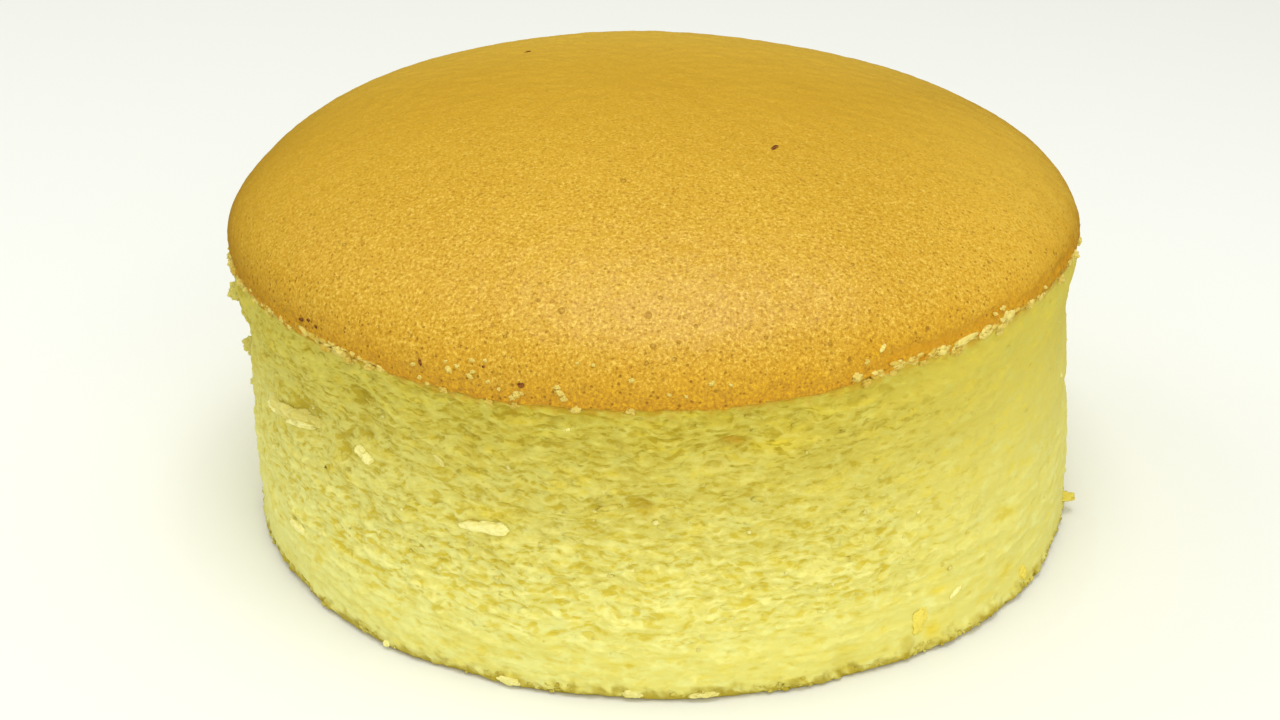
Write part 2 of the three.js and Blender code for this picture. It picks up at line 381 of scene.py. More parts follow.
    def fine_share(self, azimuth: np.ndarray, height: np.ndarray) -> np.ndarray:
        """Gives how strongly the wall's small marks show, from 0 to 1: the right side is smoother still."""
        share = blend(self.calm_foot_share, 1, ease(self.calm_foot_low, self.calm_foot_high, height))
        for side in (*self.calm_sides, *self.smooth_sides):
            share = share * side.kept(np.degrees(azimuth))
        rightwards = ease(math.radians(self.smooth_top_start), math.radians(self.smooth_top_end), azimuth)
        loss = blend(self.smooth_top_front, self.smooth_top_right, rightwards)
        return share * (1 - loss * ease(self.smooth_top_low, self.smooth_top_high, height))

    def wall_relief(self, azimuth: np.ndarray, height: np.ndarray) -> np.ndarray:
        """Gives the solid's own relief: what stands out of the true round."""
        swell = self.swell.depth * self.swell.at(azimuth, height)
        tears = self.tears.depth * np.tanh(self.tear_steepness * self.tears.at(azimuth, height))
        chip_share = 1 - ease(0, self.foot_chip_top, height)
        chips = self.foot_chips.depth * self.foot_chips.at(azimuth, height) * chip_share
        oval_turn = azimuth - math.radians(self.foot_oval_azimuth)
        oval = self.foot_oval_depth * np.cos(2 * oval_turn) * (1 - ease(0, self.foot_oval_fade, height))
        relief = swell + tears * self.tear_share(azimuth, height) + chips + oval
        for hollow in self.hollows:
            relief = relief - hollow.depth * hollow.share(azimuth, height, self.neck_radius)
        return relief

    def settle(self, points: np.ndarray, proud: np.ndarray | float = 0) -> np.ndarray:
        """Moves points of the true round to their place on the real cake.

        Args:
            points: Rows of x, y, z in millimetres.
            proud: How far each point stands off the solid's surface, outwards.

        Returns:
            The moved points.
        """
        azimuth, radius, height = polar(points)
        on_wall = height < self.crust_height
        share = (1 - ease(self.eave_height, self.crust_height, height)) * radius / self.pan_radius
        wall_radius = radius + self.wall_relief(azimuth, height) * share
        rise = self.edge_rise(azimuth)
        wall_height = height + rise * ease(self.edge_wave_start, self.eave_height, height)
        cell = self.dome_swell_cell
        swell = noise(points[:, 0] / cell, points[:, 1] / cell, 1024, self.dome_swell_seed)
        swell_share = ease(self.crust_height, self.crust_height + self.dome_swell_fade, height)
        dome_height = height + rise * (radius / self.crust_radius) ** self.rim_hold
        dome_height = dome_height + self.dome_swell_depth * swell * swell_share
        new_radius = np.where(on_wall, wall_radius, radius) + proud
        new_height = np.where(on_wall, wall_height, dome_height)
        moved = around(azimuth, new_radius, new_height)
        moved[:, 0] += self.lean(height)
        return moved

    def stances(self, azimuth: np.ndarray, height: np.ndarray) -> tuple[np.ndarray, np.ndarray]:
        """Finds where things stand on the cake's skin.

        Args:
            azimuth: Degrees.
            height: Millimetres on the true round.

        Returns:
            The places, and for each a matrix whose columns run along the skin, into the cake and up the skin.
        """
        turn, reach = np.radians(azimuth), 0.8
        places = self.settle(self.skin_points(turn, height))
        along = self.settle(self.skin_points(turn + reach / self.neck_radius, height)) - places
        up = self.settle(self.skin_points(turn, height + reach)) - places
        along /= np.linalg.norm(along, axis=1)[:, None]
        outwards = np.cross(along, up)
        outwards /= np.linalg.norm(outwards, axis=1)[:, None]
        return places, np.stack([along, -outwards, np.cross(outwards, along)], axis=2)


FORM = CakeForm()

# Named pits, each sunk and painted darker as shade.
PAINTED_SHADE_PITS = (
    Mark(-50.2, 44.0, 4.1, 1.2, -0.9),
    Mark(-43.1, 45.3, 1.1, 0.8, -0.7),
    Mark(-21.6, 44.8, 2.8, 0.9, -0.8),
    Mark(-26.2, 39.2, 1.9, 0.8, -0.6),
    Mark(-27.3, 35.0, 1.1, 0.7, -0.7),
    Mark(-21.8, 28.9, 2.5, 0.8, -0.5),
    Mark(-38.1, 28.0, 1.3, 0.6, -0.7),
    Mark(-30.7, 29.5, 1.7, 0.8, -0.5),
    Mark(-44.7, 19.5, 2.3, 0.6, -0.6),
    Mark(-54.0, 21.7, 1.5, 0.6, -0.4),
    Mark(-51.1, 10.3, 1.7, 1.0, -0.8),
    Mark(-29.6, 39.8, 1.4, 0.7, -0.6),
    Mark(-20.9, 25.6, 1.5, 0.8, -0.6),
    Mark(-27.1, 17.7, 1.3, 0.6, -0.5),
    Mark(-23.3, 52.2, 2.8, 1.0, -0.6),
    Mark(-17.5, 53.0, 3.3, 1.0, -0.6),
    Mark(-7.7, 35.1, 1.4, 1.0, -0.8),
    Mark(1.6, 35.5, 1.2, 0.6, -0.6),
    Mark(2.0, 51.0, 2.9, 0.8, -0.6),
    Mark(-0.4, 47.8, 1.5, 0.6, -0.5),
    Mark(8.3, 43.3, 1.2, 1.1, -0.5),
    Mark(2.1, 44.7, 1.2, 0.6, -0.6),
    Mark(12.8, 31.3, 1.0, 0.6, -0.6),
    Mark(0.8, 25.3, 1.9, 0.9, -0.7),
    Mark(9.9, 27.1, 2.7, 1.1, -0.6),
    Mark(-8.4, 16.3, 1.8, 0.8, -0.6),
    Mark(3.5, 16.6, 2.1, 0.7, -0.6),
    Mark(-3.9, 7.8, 0.9, 0.7, -0.7),
    Mark(-15.2, 14.3, 1.0, 0.9, -0.5),
    Mark(11.2, 6.4, 1.5, 1.2, -0.4),
    Mark(17.8, 50.5, 1.1, 0.6, -0.6),
    Mark(19.8, 43.0, 1.1, 0.6, -0.6),
    Mark(30.1, 37.8, 1.1, 0.6, -0.9),
    Mark(44.0, 33.3, 2.7, 1.0, -0.5),
    Mark(28.5, 29.3, 0.7, 0.7, -0.7),
    Mark(26.0, 28.5, 1.1, 0.6, -0.7),
    Mark(21.1, 30.4, 0.9, 0.7, -0.5),
    Mark(51.5, 21.1, 2.6, 0.9, -0.5),
    Mark(43.4, 48.5, 0.9, 0.6, -0.7),
    Mark(32.1, 49.3, 0.9, 0.6, -0.6),
    Mark(25.1, 17.8, 2.4, 1.0, -0.4),
    Mark(22.8, 12.1, 1.1, 0.6, -0.5),
    Mark(24.7, 43.8, 1.3, 0.7, -0.4),
    Mark(16.5, 31.0, 0.7, 0.8, -0.6),
)
# Named lips, each raised and painted paler as a highlight.
PAINTED_HIGHLIGHT_LIPS = (
    Mark(-21.4, 42.3, 3.1, 1.0, 0.8),
    Mark(-32.1, 44.2, 2.0, 1.1, 0.6),
    Mark(-10.7, 23.9, 0.7, 0.6, 0.9),
    Mark(-9.6, 21.4, 0.9, 0.7, 0.8),
    Mark(-3.9, 17.1, 3.1, 0.7, 0.9),
    Mark(-12.7, 17.3, 2.0, 0.7, 0.6),
    Mark(1.1, 18.9, 1.5, 0.6, 0.8),
    Mark(6.1, 17.7, 1.2, 0.7, 0.6),
    Mark(-15.5, 35.2, 0.9, 1.2, 0.9),
    Mark(-11.6, 34.0, 3.9, 1.4, 0.5),
    Mark(-1.4, 37.1, 1.4, 0.7, 0.6),
    Mark(4.2, 35.3, 1.0, 0.6, 0.8),
    Mark(9.9, 32.1, 2.7, 1.2, 0.5),
    Mark(7.5, 28.3, 0.9, 0.6, 0.7),
    Mark(8.5, 48.2, 2.0, 1.8, 0.5),
    Mark(15.8, 54.0, 0.7, 0.6, 0.9),
    Mark(19.2, 39.6, 0.8, 0.7, 0.7),
    Mark(21.2, 29.3, 0.7, 0.6, 0.8),
    Mark(32.7, 14.3, 0.6, 0.6, 0.9),
    Mark(3.9, 4.6, 0.7, 0.7, 0.9),
    Mark(-4.9, 11.0, 3.4, 0.8, 0.4),
    Mark(22.2, 24.2, 2.5, 1.2, 0.5),
    Mark(-5.2, 46.2, 1.5, 1.4, 0.5),
    Mark(-12.8, 40.8, 1.2, 0.9, 0.6),
)


# Modelling by hand


def spin_profile(name: str, profile: list[tuple[float, float]], steps: int) -> Piece:
    """Draws a profile by extruding one corner along it, and spins it round the cake's axis.

    Args:
        name: The new piece's name.
        profile: Radius and height of each corner in millimetres, starting and ending on the axis.
        steps: Faces round the cake.

    Returns:
        A closed piece whose faces point outwards.
    """
    bpy.ops.object.select_all(action="DESELECT")
    bpy.ops.mesh.primitive_plane_add(size=MM, location=(profile[0][0] * MM, 0, profile[0][1] * MM))
    piece = bpy.context.active_object
    piece.name = name
    bpy.ops.object.transform_apply(location=True)
    bpy.ops.object.mode_set(mode="EDIT")
    bpy.ops.mesh.select_all(action="SELECT")
    bpy.ops.mesh.merge(type="CENTER")
    for (radius, height), (next_radius, next_height) in zip(profile, profile[1:]):
        step = ((next_radius - radius) * MM, 0, (next_height - height) * MM)
        bpy.ops.mesh.extrude_region_move(TRANSFORM_OT_translate={"value": step})
    bpy.ops.mesh.select_all(action="SELECT")
    bpy.ops.mesh.spin(steps=steps, angle=2 * math.pi, center=(0, 0, 0), axis=(0, 0, 1), use_auto_merge=True)
    bpy.ops.mesh.select_all(action="SELECT")
    bpy.ops.mesh.remove_doubles(threshold=1e-6)
    bpy.ops.mesh.normals_make_consistent(inside=False)
    bpy.ops.object.mode_set(mode="OBJECT")
    bpy.ops.object.shade_smooth()
    return piece


def gather_front(points: np.ndarray, share: float) -> np.ndarray:
    """Turns a spun piece's corners about the axis so that they lie closer together at the front."""
    azimuth, radius, height = polar(points)
    return around(azimuth - share * np.sin(azimuth), radius, height)


def corners(piece: Piece) -> np.ndarray:
    """Gives a piece's vertices in millimetres."""
    found = np.zeros(len(piece.data.vertices) * 3, np.float32)
    piece.data.vertices.foreach_get("co", found)
    return found.reshape(-1, 3).astype(float) / MM


def place_corners(piece: Piece, places: np.ndarray) -> None:
    """Moves a piece's vertices to places in millimetres, held inside the solid's own box."""
    low, high = (np.array(corner) / MM for corner in CAD_BOX)
    held = np.clip(places, low, high) * MM
    piece.data.vertices.foreach_set("co", held.astype(np.float32).ravel())
    piece.data.update()


def paint(piece: Piece, name: str, values: np.ndarray) -> None:
    """Stores one number for each vertex, which the piece's finish reads by name."""
    attribute = piece.data.attributes.new(name, "FLOAT", "POINT")
    attribute.data.foreach_set("value", np.clip(values, 0, 1).astype(np.float32))


def hand_over(piece: Piece, finish: bpy.types.Material) -> None:
    """Dresses a finished piece and puts it on the cake's body in the solid's place."""
    piece.data.materials.clear()
    piece.data.materials.append(finish)
    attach(piece, BODY)
    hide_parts(NODE)
    LOG.info("%s: %d vertices, %d faces", piece.name, len(piece.data.vertices), len(piece.data.polygons))


@dataclass(frozen=True)
class Scrap:
    """A torn flake or crumb on the skin.

    Attributes:
        azimuth: Degrees.
        height: Millimetres on the true round.
        length: Millimetres along the skin.
        rise: Millimetres up the skin.
        thickness: Millimetres through it, half of them sunk in the cake.
        slant: Degrees that its right end is raised.
        pale: Its tone, from 0, as the sponge, to 1, cream.
        gold: How golden it is, from 0 to 1.
        ragged: How rough its outline is, where 1 is usual.
    """

    azimuth: float
    height: float
    length: float
    rise: float
    thickness: float
    slant: float = 0.0
    pale: float = 0.7
    gold: float = 0.0
    ragged: float = 1.0


def model_scrap(scrap: Scrap, subdivisions: int, seed: int) -> Piece:
    """Models one ragged scrap, stretched along the skin and half sunk in it.

    Args:
        scrap: Its place and sizes.
        subdivisions: How finely its ball is divided.
        seed: Which roughness.

    Returns:
        An object with its place in its mesh.
    """
    bpy.ops.object.select_all(action="DESELECT")
    bpy.ops.mesh.primitive_ico_sphere_add(subdivisions=subdivisions, radius=MM, location=(0, 0, 0))
    piece = bpy.context.active_object
    bpy.ops.object.shade_smooth()
    ball = corners(piece)
    size = np.array([scrap.length, scrap.thickness, scrap.rise]) / 2
    raggedness = Crag(0.55, 0.55, 1, seed, 0.12).at(ball) + Crag(0.5, 0.4, 2, seed + 1, 0.06).at(ball * size)
    shaped = ball * (1 + scrap.ragged * raggedness)[:, None] * size
    slant = math.radians(scrap.slant)
    turned = shaped.copy()
    turned[:, 0] = shaped[:, 0] * math.cos(slant) - shaped[:, 2] * math.sin(slant)
    turned[:, 2] = shaped[:, 0] * math.sin(slant) + shaped[:, 2] * math.cos(slant)
    places, axes = FORM.stances(np.array([scrap.azimuth]), np.array([scrap.height]))
    place_corners(piece, places[0] + turned @ axes[0].T)
    paint(piece, "pale", np.full(len(ball), scrap.pale) + 0.5 * raggedness)
    paint(piece, "gold", np.full(len(ball), scrap.gold))
    return piece


def join_pieces(made: list[Piece], name: str) -> Piece:
    """Joins objects into one named piece."""
    bpy.ops.object.select_all(action="DESELECT")
    for piece in made:
        piece.select_set(True)
    bpy.context.view_layer.objects.active = made[0]
    bpy.ops.object.join()
    joined = bpy.context.active_object
    joined.name = name
    return joined


# Finishes


def linear(red: float, green: float, blue: float) -> tuple[float, float, float, float]:
    """Turns a screen colour of 0 to 255 into the linear one that shaders take."""
    shares = [channel / 255 for channel in (red, green, blue)]
    light = [s / 12.92 if s <= 0.04045 else ((s + 0.055) / 1.055) ** 2.4 for s in shares]
    return (*light, 1.0)


class Shader:
    """Builds the nodes of one material."""

    def __init__(self, name: str, roughness: float, gloss: float) -> None:
        """Makes an opaque material with only its output and a principled shader."""
        self.material = bpy.data.materials.new(name)
        self.material.use_nodes = True
        self.tree = self.material.node_tree
        self.tree.nodes.clear()
        output = self.tree.nodes.new("ShaderNodeOutputMaterial")
        self.surface = self.tree.nodes.new("ShaderNodeBsdfPrincipled")
        self.surface.inputs["Roughness"].default_value = roughness
        self.surface.inputs["Specular IOR Level"].default_value = gloss
        self.tree.links.new(self.surface.outputs["BSDF"], output.inputs["Surface"])
        self.place = self.tree.nodes.new("ShaderNodeTexCoord").outputs["Object"]
        self.push: Socket | None = None

    def glow_through(self, share: float, depth_mm: float) -> None:
        """Lets some light scatter inside, redder the deeper it goes."""
        self.surface.inputs["Subsurface Weight"].default_value = share
        self.surface.inputs["Subsurface Radius"].default_value = (1.0, 0.7, 0.25)
        self.surface.inputs["Subsurface Scale"].default_value = depth_mm * MM

    def feed(self, socket: Socket, value: object) -> None:
        """Links a socket to another node's output, or sets its value."""
        if isinstance(value, Socket):
            self.tree.links.new(value, socket)
        else:
            socket.default_value = value

    def attribute(self, name: str) -> Socket:
        """Reads a number that is stored on the piece's vertices."""
        node = self.tree.nodes.new("ShaderNodeAttribute")
        node.attribute_name = name
        return node.outputs["Fac"]

    def stretched(self, scale: tuple[float, float, float], shift: float = 0) -> Socket:
        """Gives the place on the piece, scaled along each axis and shifted."""
        node = self.tree.nodes.new("ShaderNodeMapping")
        self.feed(node.inputs["Vector"], self.place)
        self.feed(node.inputs["Scale"], scale)
        self.feed(node.inputs["Location"], (shift, shift, shift))
        return node.outputs["Vector"]

    def wavy(self, scale: tuple[float, float, float], reach_mm: float, lift_mm: float = 0) -> Socket:
        """Gives the stretched place, pushed to and fro in ragged waves by up to reach_mm, and lifted."""
        if self.push is None:
            push = self.tree.nodes.new("ShaderNodeTexNoise")
            self.feed(push.inputs["Vector"], self.place)
            self.feed(push.inputs["Scale"], 1 / (6 * MM))
            self.feed(push.inputs["Detail"], 3)
            self.push = push.outputs["Color"]
        reach = self.tree.nodes.new("ShaderNodeMapping")
        self.feed(reach.inputs["Vector"], self.push)
        self.feed(reach.inputs["Scale"], (reach_mm * MM,) * 3)
        self.feed(reach.inputs["Location"], (0, 0, lift_mm * MM))
        pushed = self.tree.nodes.new("ShaderNodeVectorMath")
        self.feed(pushed.inputs[0], self.place)
        self.feed(pushed.inputs[1], reach.outputs["Vector"])
        stretch = self.tree.nodes.new("ShaderNodeMapping")
        self.feed(stretch.inputs["Vector"], pushed.outputs["Vector"])
        self.feed(stretch.inputs["Scale"], scale)
        return stretch.outputs["Vector"]

    def ring(self, middle: np.ndarray, radius_mm: float) -> Socket:
        """Gives a small ring round a place in millimetres: 1 on it, less inside and 0 outside."""
        node = self.tree.nodes.new("ShaderNodeVectorMath")
        node.operation = "DISTANCE"
        self.feed(node.inputs[0], self.place)
        self.feed(node.inputs[1], tuple(middle * MM))
        reach = radius_mm * MM
        disc = self.ramp(node.outputs["Value"], 1.2 * reach, 0.9 * reach)
        middle_loss = self.ramp(node.outputs["Value"], 0.7 * reach, 0.3 * reach, 0, 0.5)
        return self.less(disc, middle_loss)

    def noise(self, vector: Socket, size_mm: float, detail: float = 2, roughness: object = 0.5) -> Socket:
        """Gives noise around 0.5 with lumps of about size_mm; its roughness is a number or a socket."""
        node = self.tree.nodes.new("ShaderNodeTexNoise")
        self.feed(node.inputs["Vector"], vector)
        self.feed(node.inputs["Scale"], 1 / (size_mm * MM))
        self.feed(node.inputs["Detail"], detail)
        self.feed(node.inputs["Roughness"], roughness)
        return node.outputs["Fac"]

    def dots(self, vector: Socket, spacing_mm: float, radius_mm: float, rarity: float) -> Socket:
        """Gives scattered round dots.

        Args:
            vector: The place on the piece.
            spacing_mm: Distance between the places where a dot may be.
            radius_mm: A dot's radius.
            rarity: The share of those places that stay empty.

        Returns:
            1 in a dot and 0 elsewhere.
        """
        node = self.tree.nodes.new("ShaderNodeTexVoronoi")
        self.feed(node.inputs["Vector"], vector)
        self.feed(node.inputs["Scale"], 1 / (spacing_mm * MM))
        chance = self.ramp(self.split(node.outputs["Color"])["X"], rarity, rarity + 0.15)
        size = radius_mm / spacing_mm
        return self.times(self.ramp(node.outputs["Distance"], 1.2 * size, 0.6 * size), chance)

    def ramp(self, value: Socket, low: float, high: float, start: float = 0, end: float = 1) -> Socket:
        """Maps value from low..high to start..end, smoothly and clamped."""
        node = self.tree.nodes.new("ShaderNodeMapRange")
        node.interpolation_type = "SMOOTHSTEP"
        self.feed(node.inputs["Value"], value)
        for name, number in (("From Min", low), ("From Max", high), ("To Min", start), ("To Max", end)):
            self.feed(node.inputs[name], number)
        return node.outputs["Result"]

    def maths(self, operation: str, first: object, second: object = 0.0) -> Socket:
        """Combines two numbers."""
        node = self.tree.nodes.new("ShaderNodeMath")
        node.operation = operation
        self.feed(node.inputs[0], first)
        self.feed(node.inputs[1], second)
        return node.outputs["Value"]

    def times(self, first: object, second: object) -> Socket:
        """Multiplies two numbers."""
        return self.maths("MULTIPLY", first, second)

    def plus(self, first: object, second: object) -> Socket:
        """Adds two numbers."""
        return self.maths("ADD", first, second)

    def less(self, first: object, second: object) -> Socket:
        """Takes the second number from the first."""
        return self.maths("SUBTRACT", first, second)

    def larger(self, first: object, second: object) -> Socket:
        """Gives the larger of two numbers."""
        return self.maths("MAXIMUM", first, second)

    def mix(self, share: object, first: object, second: object) -> Socket:
        """Mixes two colours, each a socket or 0 to 255 for red, green and blue, by a share."""
        node = self.tree.nodes.new("ShaderNodeMix")
        node.data_type = "RGBA"
        self.feed(node.inputs["Factor"], share)
        for socket, colour in ((node.inputs["A"], first), (node.inputs["B"], second)):
            self.feed(socket, colour if isinstance(colour, Socket) else linear(*colour))
        return node.outputs["Result"]

    def split(self, vector: Socket) -> bpy.types.bpy_prop_collection:
        """Splits a vector or a colour's three numbers."""
        node = self.tree.nodes.new("ShaderNodeSeparateXYZ")
        self.feed(node.inputs["Vector"], vector)
        return node.outputs

    def bump(
        self, height: Socket, distance_mm: float, strength: float, normal: Socket | None = None
    ) -> Socket:
        """Roughens the surface by a height, on top of another roughness if one is given."""
        node = self.tree.nodes.new("ShaderNodeBump")
        self.feed(node.inputs["Height"], height)
        self.feed(node.inputs["Distance"], distance_mm * MM)
        self.feed(node.inputs["Strength"], strength)
        if normal is not None:
            self.feed(node.inputs["Normal"], normal)
        return node.outputs["Normal"]

    def finish(self, colour: Socket, normal: Socket) -> bpy.types.Material:
        """Feeds the surface and gives the material."""
        self.feed(self.surface.inputs["Base Color"], colour)
        self.feed(self.surface.inputs["Normal"], normal)
        return self.material


@dataclass(frozen=True)
class SpongeFinish:
    """Pale torn crumb: cream with painted highlight on what stands proud, gold with painted shade in the
    hollows, and darker under the crust, partly as painted shade.

    Steps are the four numbers of a ramp, and sizes are in millimetres. A ramp named for a way, such as
    leftwards, runs along the piece in metres.
    """

    low: Colour = (224, 216, 115)
    # The upper colours are darker, partly the crumb's own colour and partly painted shade under the crust;
    # the low ones are lighter, partly painted bounce light.
    shaded_upper: Colour = (196, 178, 60)
    # Painted light: a lighter tone for the upper wall towards the right.
    painted_lit_tone: Colour = (219, 203, 86)
    # Painted shading: the deep colours are painted shade in hollows and low streaks, the cream ones painted
    # highlight on what stands proud; both also carry the crumb's own streaked tone.
    deep_shade_low: Colour = (213, 193, 56)
    deep_shade_upper: Colour = (172, 150, 32)
    cream_highlight_low: Colour = (249, 243, 152)
    cream_highlight_upper: Colour = (216, 203, 94)
    greyed_low: Colour = (231, 230, 144)
    greyed_upper: Colour = (206, 197, 88)
    yolk: Colour = (228, 206, 58)
    browned: Colour = (192, 144, 28)
    # The foot band: partly browned skin, partly painted contact shade along the floor.
    foot: Colour = (176, 156, 40)
    upwards: Steps = (0.01, 0.065, 0, 1)
    # This ramp brings in the painted light towards the right.
    rightwards: Steps = (0.02, 0.075, 0, 0.6)
    # Painted cool light: grey clouds grow towards the left, where the wall looks paler and greener.
    leftwards: Steps = (0.04, -0.085, 0, 0.15)
    cloud_size: float = 5.0
    greyed_share: Steps = (0.5, 0.7, 0, 0.7)
    gold_share: Steps = (0.5, 0.7, 0, 0.4)
    streak_size: float = 2.8
    streak_wave: float = 4.0
    streak_roughness: Steps = (0.006, 0.042, 0.33, 0.54)
    crumb_size: float = 0.9
    crumb_share: Steps = (0.006, 0.042, 0.1, 0.42)
    contrast: Steps = (0.2, 0.9, 0.12, 1.2)
    cream_highlight_share: Steps = (0.52, 0.78, 0, 0.6)
    deep_shade_share: Steps = (0.46, 0.24, 0, 0.85)
    marks_shown: Steps = (0.1, 0.8, 0.1, 1.0)
    fold_size: float = 6.0
    fold_wave: float = 3.4
    fold_open: Steps = (0.53, 0.38, 0, 1)
    fold_width: Steps = (0.08, 0.01, 0, 1)
    fold_painted_shade: float = 0.6
    fold_depth: float = 0.35
    fold_lip_painted_highlight: float = 0.3
    # Painted shade in the pits, and a painted highlight on the lip just above each.
    pit_painted_shade: float = 0.65
    pit_depth: float = 0.65
    pit_lip_lift: float = 0.55
    pit_lip_painted_highlight: float = 0.28

    def make(self) -> bpy.types.Material:
        """Builds the material.

        Returns:
            The material, which reads the attributes relief, torn, yolk, browning and foot.
        """
        shader = Shader("torn_sponge", 0.9, 0.2)
        shader.glow_through(0.1, 2.0)
        place = shader.split(shader.place)
        # climb darkens each tone upwards, partly as painted shade under the crust.
        climb = shader.ramp(place["Z"], *self.upwards)
        torn = shader.attribute("torn")
        shown = shader.ramp(torn, *self.marks_shown)
        deep = shader.mix(climb, self.deep_shade_low, self.deep_shade_upper)
        cream = shader.mix(climb, self.cream_highlight_low, self.cream_highlight_upper)
        roughness = shader.ramp(place["Z"], *self.streak_roughness)
        streaks = shader.noise(shader.wavy((1, 1, 2.8), self.streak_wave), self.streak_size, 3, roughness)
        crumb = shader.noise(shader.stretched((1, 1, 1.6), 0.13), self.crumb_size, 3, 0.6)
        fineness = shader.ramp(place["Z"], *self.crumb_share)
        mixed = shader.plus(streaks, shader.times(shader.less(crumb, 0.5), fineness))
        mixed = shader.times(shader.less(mixed, 0.5), shader.ramp(torn, *self.contrast))
        mixed = shader.plus(shader.attribute("relief"), mixed)
        tone = self.clouds(shader, climb)
        # Cream as painted highlight where the relief and streaks stand high, deep as painted shade where they
        # lie low.
        tone = shader.mix(shader.ramp(mixed, *self.cream_highlight_share), tone, cream)
        tone = shader.mix(shader.ramp(mixed, *self.deep_shade_share), tone, deep)
        # Folds: painted shade in each crease and a painted highlight on the lip beside it.
        crease, lip = self.folds(shader, streaks, shown)
        tone = shader.mix(shader.times(shader.times(lip, shown), self.fold_lip_painted_highlight), tone, cream)
        tone = shader.mix(shader.times(crease, self.fold_painted_shade), tone, deep)
        # Pits: painted shade in each pit, and a painted highlight on the lip just above it, found by looking
        # a little higher.
        pits = self.pits(shader, 0.0)
        pit_lip_highlights = shader.larger(shader.less(self.pits(shader, self.pit_lip_lift), pits), 0.0)
        tone = shader.mix(shader.times(pit_lip_highlights, shader.times(shown, self.pit_lip_painted_highlight)), tone, cream)
        pits = shader.times(pits, shown)
        tone = shader.mix(shader.times(pits, self.pit_painted_shade), tone, deep)
        # The foot band: browned skin and painted contact shade.
        tone = shader.mix(shader.attribute("foot"), tone, self.foot)
        tone = shader.mix(shader.attribute("browning"), tone, self.browned)
        height = shader.less(mixed, shader.times(pits, self.pit_depth))
        height = shader.less(height, shader.times(crease, self.fold_depth))
        height = shader.plus(height, shader.times(crumb, fineness))
        return shader.finish(tone, shader.bump(height, 0.25, 0.7))

    def clouds(self, shader: Shader, climb: Socket) -> Socket:
        """Gives the plain tone, darker upwards, partly as painted shade under the crust, and lighter on the
        upper right with painted light; with greyer clouds, more of them leftwards as painted cool light, and
        golden ones.
        """
        place = shader.split(shader.place)
        shaded_upper = shader.mix(shader.ramp(place["X"], *self.rightwards), self.shaded_upper, self.painted_lit_tone)
        tone = shader.mix(climb, self.low, shaded_upper)
        greys = shader.noise(shader.stretched((1, 1, 1.7)), self.cloud_size, 4, 0.6)
        # More grey towards the left, as painted cool light.
        greys = shader.plus(greys, shader.ramp(place["X"], *self.leftwards))
        greyed = shader.mix(climb, self.greyed_low, self.greyed_upper)
        tone = shader.mix(shader.ramp(greys, *self.greyed_share), tone, greyed)
        golds = shader.noise(shader.stretched((1, 1, 2.2), 0.31), self.cloud_size, 3, 0.58)
        gold = shader.larger(shader.ramp(golds, *self.gold_share), shader.attribute("yolk"))
        return shader.mix(gold, tone, self.yolk)

    def folds(self, shader: Shader, streaks: Socket, shown: Socket) -> tuple[Socket, Socket]:
        """Gives soft level folds in the darker streaks, painted as shade in each crease, and the pale lip
        beside each, a painted highlight.
        """
        folds = shader.noise(shader.wavy((1, 1, 2.3), self.fold_wave), self.fold_size, 2, 0.5)
        middle = shader.maths("ABSOLUTE", shader.less(folds, 0.5))
        open_share = shader.times(shader.ramp(streaks, *self.fold_open), shown)
        crease = shader.times(shader.ramp(middle, *self.fold_width), open_share)
        return crease, shader.times(shader.ramp(folds, 0.515, 0.55), shader.ramp(folds, 0.62, 0.56))

    def pits(self, shader: Shader, lift_mm: float) -> Socket:
        """Gives flat ragged pits in two sizes, seen lift_mm further up."""
        small = shader.dots(shader.wavy((0.6, 0.6, 1.5), 3.0, lift_mm), 2.2, 0.5, 0.35)
        large = shader.dots(shader.wavy((0.55, 0.55, 1.3), 4.4, lift_mm), 4.2, 0.85, 0.3)
        return shader.larger(small, large)


